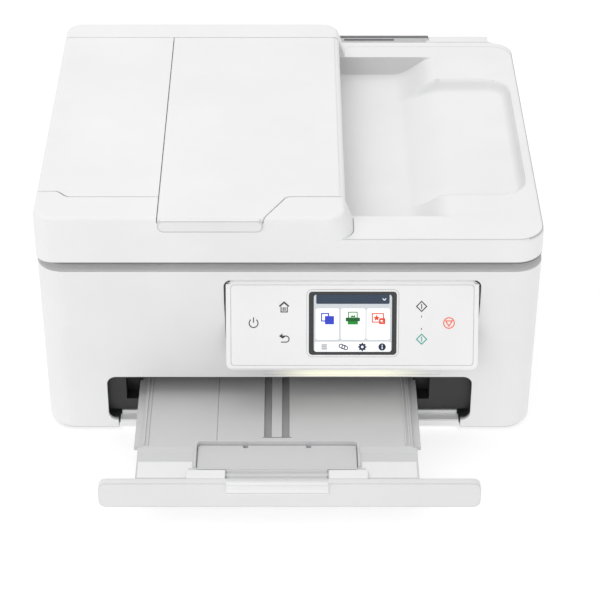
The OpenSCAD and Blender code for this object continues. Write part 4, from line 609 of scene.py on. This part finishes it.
# Outlines in (x, z) of the ramp into the feeder and of the cheek at each end of it.
RAMP = [(30.5, 183.0), (-104.5, 170.0), (-124.5, 171.0), (-146.5, 184.4), (-147.5, 183.0), (-125.5, 169.0),
        (-104.5, 168.0), (30.5, 181.0)]
CHEEK = [(36.0, 156.5), (36.0, 160.2), (30.5, 182.0), (-104.5, 169.0), (-104.5, 156.5)]
RAMP_FRONT, RAMP_REAR = -146, 99
CHEEK_THICK = 2
for part, outline, rear, thick in (("feeder_ramp", RAMP, RAMP_REAR, RAMP_REAR - RAMP_FRONT),
                                   ("ramp_cheek_front", CHEEK, RAMP_FRONT + CHEEK_THICK, CHEEK_THICK),
                                   ("ramp_cheek_rear", CHEEK, RAMP_REAR, CHEEK_THICK)):
    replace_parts(flat(part, [outline], COVER_GREY, "upper_cover", facing_front(rear),
                     thick), "document_outlet")

# ---------------------------------------------------------------- control panel

PANEL_FACE = -183.0  # y of the front of the case and of the upright panel
PANEL_AXIS = (-178.0, 134.8)  # y and z of the line that the panel tilts about
PANEL_TILT = 24  # degrees at rest
PANEL = (at(0, PANEL_AXIS[0], PANEL_AXIS[1]) @ Matrix.Rotation(math.radians(-PANEL_TILT), 4, "X")
         @ at(0, -PANEL_AXIS[0], -PANEL_AXIS[1]))
SCREEN_SUNK = 0.2
SCREEN_LAYER = 0.05  # thickness of a layer of the picture on the display
GLYPH = 0.12  # thickness of a printed sign
LINE = 0.72  # width of a sign's line


def on_panel(name, loops, mat, lift=0.0, thick=GLYPH, edge=0.0):
    """Piece drawn in (x, z) on the upright panel's face and tilted with it."""
    place = PANEL @ facing_front(PANEL_FACE - lift)
    return flat(name, loops, mat, "control_panel", place, thick, edge)


def on_screen(name, loops, mat, layer):
    """Layers of the picture on the display, each a hair above the one under it."""
    return on_panel(name, loops, mat, layer * SCREEN_LAYER - SCREEN_SUNK, SCREEN_LAYER)


def start_sign(name, cx, cz, mat):
    """Square on its corner with a bar in it."""
    half = 3.8
    corners = [(cx - half, cz), (cx, cz - half), (cx + half, cz), (cx, cz + half)]
    on_panel(name, stroke(corners, LINE, True) + [block(cx, cz, 0.64, 3.8, 0.2)], mat)


def link(cx, cz, reach=0.9, r=1.35, lean=-26):
    """Outline of one chain link, a slot with round ends that leans to the right."""
    turn = math.radians(lean)
    slot_line = arc(reach, 0, r, -90, 90, 8) + arc(-reach, 0, r, 90, 270, 8)
    return [(cx + x * math.cos(turn) - z * math.sin(turn), cz + x * math.sin(turn) + z * math.cos(turn))
            for x, z in slot_line]


def star(cx, cz, big, small):
    """Star with five points, one of them upward."""
    spots = []
    for k in range(10):
        r = small if k % 2 else big
        angle = math.pi / 2 + math.pi * k / 5
        spots.append((cx + r * math.cos(angle), cz + r * math.sin(angle)))
    return spots


def gear(cx, cz):
    """Outline of a gear with eight teeth."""
    spots = []
    for k in range(8):
        for r, away in ((2.5, -14), (3.2, -9), (3.2, 9), (2.5, 14)):
            angle = math.radians(45 * k + away)
            spots.append((cx + r * math.cos(angle), cz + r * math.sin(angle)))
    return spots


# Frame of the screen: a dark surround, a raised white rim around it and a faint grey line of painted shade
# around that.
SURROUND = (14.4, 79.9, 81.1, 129.1)  # left, right, foot and top
SURROUND_CORNER = 2.6
RIM = 1.4
RIM_SHADE = 0.3
surround = frame_loops(*SURROUND, SURROUND_CORNER, 2.2)
rim = frame_loops(*grown(SURROUND, RIM), SURROUND_CORNER + RIM, RIM)
rim_shade = frame_loops(*grown(SURROUND, RIM + RIM_SHADE), SURROUND_CORNER + RIM + RIM_SHADE, 0.35)
on_panel("screen_surround", surround, SCREEN, thick=0.12)
on_panel("screen_rim", rim, PANEL_WHITE, thick=0.4, edge=0.15)
on_panel("screen_rim_shade", rim_shade, EDGE_AND_SHADE_GREY, thick=0.05)

# Keys: the centre of each sign, and its lines measured from there.
cx, cz = -26.8, 105.2
ring = arc(cx, cz, 3.3, 128, 412, 24)
on_panel("power_sign", stroke(ring, LINE) + [block(cx, cz + 2.4, LINE, 4.0, 0.2)], INK)

cx, cz = -4.0, 117.9
roof = [(cx - 3.5, cz), (cx, cz + 3.1), (cx + 3.5, cz)]
walls = [(cx - 2.3, cz - 0.3), (cx - 2.3, cz - 4.2), (cx + 2.3, cz - 4.2), (cx + 2.3, cz - 0.3)]
panes = [block(cx + dx, cz - 2.0 + dz, 1.0, 1.0, 0.1) for dx in (-0.7, 0.7) for dz in (-0.7, 0.7)]
on_panel("home_sign", stroke(roof, 1.15) + stroke(walls, LINE) + panes, INK)

cx, cz, bend = -2.6, 93.1, 2.3
top = 95.4
tail = [(cx - 3.0, top), (cx, top)] + arc(cx, cz, bend, 90, -90, 10) + [(cx - 3.8, cz - bend)]
arrow = [(cx - 2.7, top + 1.9), (cx - 5.2, top), (cx - 2.7, top - 1.9)]
on_panel("back_sign", stroke(tail, LINE) + [arrow], INK)

start_sign("start_sign_upper", 98.4, 117.9, INK)
start_sign("start_sign_lower", 98.6, 93.0, TEAL)
on_panel("start_ticks", [block(98.45, z, 0.5, 1.4, 0.15) for z in (110.3, 100.8)], INK)

cx, cz, r = 118.9, 105.3, 4.35
triangle = [(cx - 2.4, cz + 1.6), (cx, cz - 2.4), (cx + 2.4, cz + 1.6)]
on_panel("stop_sign", [disc(cx, cz, r), disc(cx, cz, r - LINE)] + stroke(triangle, LINE, True), ORANGE)

# Display: a page with a bar along the top, three tiles and a foot with small signs.
BAR_TOP, BAR_FOOT = 126.8, 119.8
TILES = ((19.5, 36.9), (38.3, 56.6), (57.5, 74.8))
FOOT = 87.1  # middle of the row of small signs
on_screen("display_page", [rounded(18.1, 76.3, 83.2, BAR_TOP, 2.2)], PAGE, 1)
on_screen("display_bar", [[(20.6, BAR_FOOT), (19.9, BAR_FOOT + 0.6), (19.9, BAR_TOP), (74.5, BAR_TOP),
                           (74.5, BAR_FOOT + 0.6), (73.8, BAR_FOOT)]], BAR, 2)
on_screen("display_chevron", stroke([(69.3, 123.9), (70.6, 122.6), (71.9, 123.9)], 0.5), TILE, 3)
on_screen("display_foot", [rounded(18.9, 75.5, 83.6, 91.0, 1.4)], TILE, 2)
on_screen("display_tiles", [rounded(x0, x1, 92.7, 116.3, 1.4) for x0, x1 in TILES], TILE, 2)

on_screen("copy_sign_back", frame_loops(23.4, 29.6, 106.4, 113.0, 0.5, 0.9), BLUE, 3)
on_screen("copy_sign_front", [rounded(26.4, 33.2, 104.3, 110.6, 0.5)], BLUE, 4)

hills = [(45.2, 109.6), (46.6, 111.4), (47.6, 110.5), (48.4, 111.6), (49.3, 109.6)]
on_screen("scan_sign_sheet", frame_loops(43.6, 50.8, 108.0, 113.9, 0.4, 0.75) + [hills], GREEN, 3)
on_screen("scan_sign_bed", [rounded(41.9, 52.5, 106.6, 109.4, 0.5)], DEEP_GREEN, 4)
on_screen("scan_sign_foot", [rounded(43.4, 51.0, 104.2, 106.6, 0.3)], GREEN, 4)

card = [rounded(61.3, 70.4, 105.6, 112.8, 0.5), rounded(62.1, 69.6, 106.4, 112.0, 0.3)]
stack = [rounded(66.8, 71.4, 104.4, 109.0, 0.6), rounded(67.8, 70.4, 105.4, 107.6, 0.3)]
on_screen("print_sign_card", card, RED, 3)
on_screen("print_sign_star", [star(64.9, 109.1, 2.5, 1.2)], RED, 4)
on_screen("print_sign_stack", stack, RED, 5)

on_screen("menu_sign", [block(25.9, FOOT + dz, 4.2, 0.7, 0.2) for dz in (-1.5, 0, 1.5)], NAVY, 3)
on_screen("link_sign", stroke(link(39.2, FOOT + 0.4), 0.7, True), NAVY, 3)
on_screen("link_sign_second", stroke(link(41.3, FOOT - 0.4), 0.7, True), NAVY, 4)
on_screen("settings_sign", [gear(54.4, FOOT), disc(54.4, FOOT, 0.95)], NAVY, 3)
cx = 69.2
notice = [disc(cx, FOOT, 2.8), disc(cx, FOOT + 1.2, 0.42), rounded(cx - 0.35, cx + 0.35, 85.5, 87.4, 0.2)]
on_screen("notice_sign", notice, NAVY, 3)
on_screen("display_rules", [block(x, FOOT, 0.24, 3.8, 0.1) for x in (33.0, 47.4, 61.9)], PAGE, 3)

# ---------------------------------------------------------------- rear deck and painted shadow in the panel gap

# Strip along the rear with a dark line on top of it.
DECK_HALF = 121.9
DECK_FOOT, DECK_TOP, LINE_TOP = 150.5, 155.7, 156.2
DECK_DEEP = 3.6
deck_place = facing_front(181.4)
flat("deck_strip", [rounded(-DECK_HALF, DECK_HALF, DECK_FOOT, DECK_TOP, 0.4)], DECK_GREY, "case",
     deck_place, DECK_DEEP)
flat("deck_edge", [rounded(-DECK_HALF, DECK_HALF, DECK_TOP, LINE_TOP, 0.1)], SEAM_AND_SHADOW_GREY, "case",
     deck_place, DECK_DEEP + 0.1)
CAP_NEAR, CAP_FAR = 122.2, 173.8  # ends of the cap on each side of the strip
for part, x0, x1 in (("deck_cap_left", -CAP_FAR, -CAP_NEAR), ("deck_cap_right", CAP_NEAR, CAP_FAR)):
    flat(part, [rounded(x0, x1, 153.3, 154.6, 0.3)], WHITE, "case", facing_front(182.6),
         thick=10, edge=0.2)
# Slot in the strip's face.
flat("deck_slot", [rounded(48, 92, 153.1, 154.7, 0.5)], SEAM_AND_SHADOW_GREY, "case",
     facing_front(177.85), thick=0.1)

# Painted shadow: black strips on the case's face stand in for the shade in the gap beside the panel; the left
# one, which narrows downward, and the same mirrored.
PANEL_MIDDLE = 46.8
GAP_FOOT = 88
CORNER_X, CORNER_Z = -43.4, 134.9
gap_outside = arc(CORNER_X, CORNER_Z, 5.6, 100, 180, 8) + [(-48.95, 120), (-48.5, 106), (-48.15, GAP_FOOT)]
gap_inside = [(-48.0, GAP_FOOT), (-48.0, 134.6)] + arc(CORNER_X, CORNER_Z, 4.5, 176, 100, 7)
gap_shadow_left = gap_outside + gap_inside
gap_shadow_right = [(2 * PANEL_MIDDLE - x, z) for x, z in gap_shadow_left]
for part, outline in (("panel_gap_shadow_left", gap_shadow_left), ("panel_gap_shadow_right", gap_shadow_right)):
    flat(part, [outline], BLACK, "case", facing_front(PANEL_FACE), thick=0.06)

# ---------------------------------------------------------------- seams, painted shadow under the cover and painted shade on the finger lip

plate_edge_line = arc(167.55, -162.1, 20.1, 295, 360, 8) + arc(167.55, 110.1, 20.1, 0, 60, 8)
flat("plate_seam", stroke(plate_edge_line, 0.7), EDGE_AND_SHADE_GREY, "upper_cover",
     at(0, 0, 175.3), thick=0.35)
plate_rear_line = [(50.5, 122.0)] + arc(171.0, 106.5, 15.5, 90, 5, 8)
flat("plate_rear_seam", stroke(plate_rear_line, 0.3), EDGE_AND_SHADE_GREY, "upper_cover",
     at(0, 0, PLATE), thick=0.04)
feeder_foot_line = [(47.4, -153)] + arc(33.3, -168.4, 14.1, 0, -80, 10)
flat("feeder_foot_seam", stroke(feeder_foot_line, 0.5), SEAM_AND_SHADOW_GREY, "upper_cover",
     at(0, 0, PLATE), thick=0.04)

# Painted shadow: a dark band in the gap under the cover, around the front and both sides.
CASE_SIDE = 188.25
CASE_FRONT = -182.8
SHADOW_CORNER = 20.6
SHADOW_REAR = 120
corner_y = CASE_FRONT + SHADOW_CORNER
scanner_shadow_line = ([(-CASE_SIDE, SHADOW_REAR)]
                + arc(SHADOW_CORNER - CASE_SIDE, corner_y, SHADOW_CORNER, 180, 270, 12)
                + arc(CASE_SIDE - SHADOW_CORNER, corner_y, SHADOW_CORNER, 270, 360, 12)
                + [(CASE_SIDE, SHADOW_REAR)])
flat("scanner_gap_shadow", stroke(scanner_shadow_line, 0.14), SEAM_AND_SHADOW_GREY, "scanner", at(0, 0, 154.9),
     thick=1.2)

# Finger lip: painted shade, a slightly darker sheet over its face and a thin grey outline around that.
LIP = (-95.9, -20.1, 184.6, 193.0)  # left, right, foot and top of the face
LIP_BACK = -185.35  # y of the back of the face
flat("lip_face_shade", [rounded(*LIP, 4.0)], LIP_WHITE_SHADED, "document_tray", facing_front(LIP_BACK),
     thick=0.1)
flat("lip_edge_shade", frame_loops(LIP[0] - 0.5, LIP[1] + 0.5, LIP[2] - 0.5, LIP[3] + 0.3, 4.5, 0.55), EDGE_AND_SHADE_GREY,
     "document_tray", facing_front(LIP_BACK - 0.03), thick=0.05)

# ---------------------------------------------------------------- tray and front bar

TRAY_TOP = 36.0
CHANNEL_FRONT, CHANNEL_REAR = -237.9, -129
CHANNEL_WIDE = 5.5
CHANNEL_DEEP = 1.82
APRON_FRONT, APRON_REAR = -284.5, -264.5
APRON_TOP = 33.81
HINGE_MIDDLE = -9.1  # x halfway between the hinge caps
HINGE_NEAR, HINGE_FAR = 38.1, 66.6  # ends of a cap, from there
HINGE_FRONT, HINGE_REAR = -286.6, -276.4
HINGE_TOP = 35.6


def on_tray(name, loops, mat, z, thick, edge=0.0):
    """Piece drawn in (x, y) that lies at the height z and slides with the tray."""
    return flat(name, loops, mat, "output_tray", at(0, 0, z), thick, edge)


# Painted shade: darker grey sheets on the floors of the two channels.
for part, x in (("channel_shade_left", -16.1), ("channel_shade_right", -2.6)):
    half = CHANNEL_WIDE / 2
    on_tray(part, [rounded(x - half, x + half, CHANNEL_FRONT, CHANNEL_REAR, 0.5)], CHANNEL_SHADE_GREY,
            TRAY_TOP - CHANNEL_DEEP, 0.06)
on_tray("channel_end", [rounded(-20.2, 1.5, CHANNEL_FRONT - 0.7, CHANNEL_FRONT, 0.1)], SEAM_AND_SHADOW_GREY,
        TRAY_TOP, 0.05)
pocket_rim = [rounded(-70.4, 52.0, -275, -242.2, 4), rounded(-69.3, 50.9, -276, -243.3, 3)]
on_tray("pocket_rim", pocket_rim, LIGHT_GREY, TRAY_TOP - 0.05, 0.2, edge=0.08)
for part, x0, x1 in (("apron_face_left", -111.8, -71.6), ("apron_face_right", 53.4, 93.8)):
    on_tray(part, [rounded(x0, x1, APRON_FRONT, APRON_REAR, 0.4)], WHITE, APRON_TOP,
            0.05)

# Front bar: outline in (y, z) of the lip that a hand takes, and the line across its face.
GRIP_FACE = -295.5
GRIP_LEFT, GRIP_WIDE = -46.3, 74.6
GRIP = [(-288, 36.1), (-294.4, 36.1), (GRIP_FACE, 35.0), (GRIP_FACE, 28.4), (-295.0, 27.2), (-293.0, 26.8),
        (-292.6, 34), (-288, 34)]
flat("grip_lip", [GRIP], WHITE, "output_tray", at(GRIP_LEFT, 0, 0) @ SIDEWAYS, GRIP_WIDE,
     edge=0.15)
flat("grip_line", [rounded(-46.2, 28.2, 28.9, 29.25, 0.1)], EDGE_AND_SHADE_GREY, "output_tray",
     facing_front(GRIP_FACE), thick=0.06)
for part, x0, x1 in (("hinge_cap_left", HINGE_MIDDLE - HINGE_FAR, HINGE_MIDDLE - HINGE_NEAR),
                     ("hinge_cap_right", HINGE_MIDDLE + HINGE_NEAR, HINGE_MIDDLE + HINGE_FAR)):
    on_tray(part, [rounded(x0, x1, HINGE_FRONT, HINGE_REAR, 1.2)], WHITE, HINGE_TOP,
            0.06)

# ---------------------------------------------------------------- painted glow over the mouth

LAMP_GAP = 0.2
GLOW_AREA = (-22, 116, 52.3, 68.5)  # left, right, foot and top of the lit part of the front
lamp_lo, lamp_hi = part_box("light_bar")
lamp_hole = rounded(lamp_lo.x / MM - LAMP_GAP, lamp_hi.x / MM + LAMP_GAP,
                    lamp_lo.z / MM - LAMP_GAP, lamp_hi.z / MM + LAMP_GAP, 0.3)
# Painted light: an emissive sheet on the case's front, around the lamp, that stands in for its light.
flat("glow_face", [rounded(*GLOW_AREA, 0.5), lamp_hole], GLOW, "case",
     facing_front(PANEL_FACE), thick=0.04)

# ---------------------------------------------------------------- floor and light

FLOOR_HALF = 3.0  # metres
floor_corners = [(-FLOOR_HALF, -FLOOR_HALF, 0), (FLOOR_HALF, -FLOOR_HALF, 0), (FLOOR_HALF, FLOOR_HALF, 0),
                 (-FLOOR_HALF, FLOOR_HALF, 0)]
floor_mesh = bpy.data.meshes.new("floor")
floor_mesh.from_pydata(floor_corners, [], [(0, 1, 2, 3)])
floor = bpy.data.objects.new("floor", floor_mesh)
scene.collection.objects.link(floor)
floor_mat, floor_tree, floor_bsdf = new_material("floor")
floor_tree.links.new(ramp(floor_tree, noise(floor_tree, 3), (0.37, 0.37, 0.37), (0.39, 0.39, 0.39)),
                     floor_bsdf.inputs["Base Color"])
floor_bsdf.inputs["Roughness"].default_value = 0.9
floor_bsdf.inputs["Specular IOR Level"].default_value = 0.1
floor_bsdf.inputs["Emission Color"].default_value = (1, 1, 1, 1)
floor_bsdf.inputs["Emission Strength"].default_value = 0.7
floor_mesh.materials.append(floor_mat)

world = bpy.data.worlds.new("studio")
scene.world = world
world.use_nodes = True
world.node_tree.nodes["Background"].inputs["Color"].default_value = (1, 1, 1, 1)
world.node_tree.nodes["Background"].inputs["Strength"].default_value = 0.72


def softbox(name, place, target, size, power):
    """Rectangular lamp that faces a target; places and sizes in metres, power in watts."""
    data = bpy.data.lights.new(name, "AREA")
    data.shape = "RECTANGLE"
    data.size, data.size_y = size
    data.energy = power
    obj = bpy.data.objects.new(name, data)
    obj.location = place
    obj.rotation_euler = (Vector(target) - Vector(place)).to_track_quat("-Z", "Y").to_euler()
    scene.collection.objects.link(obj)


softbox("softbox_top", (-0.4, 0.2, 1.9), (0, 0, 0.1), (1.8, 1.6), 10)
softbox("softbox_front", (-0.9, -1.9, 1.2), (0, -0.1, 0.08), (1.2, 1.0), 5)
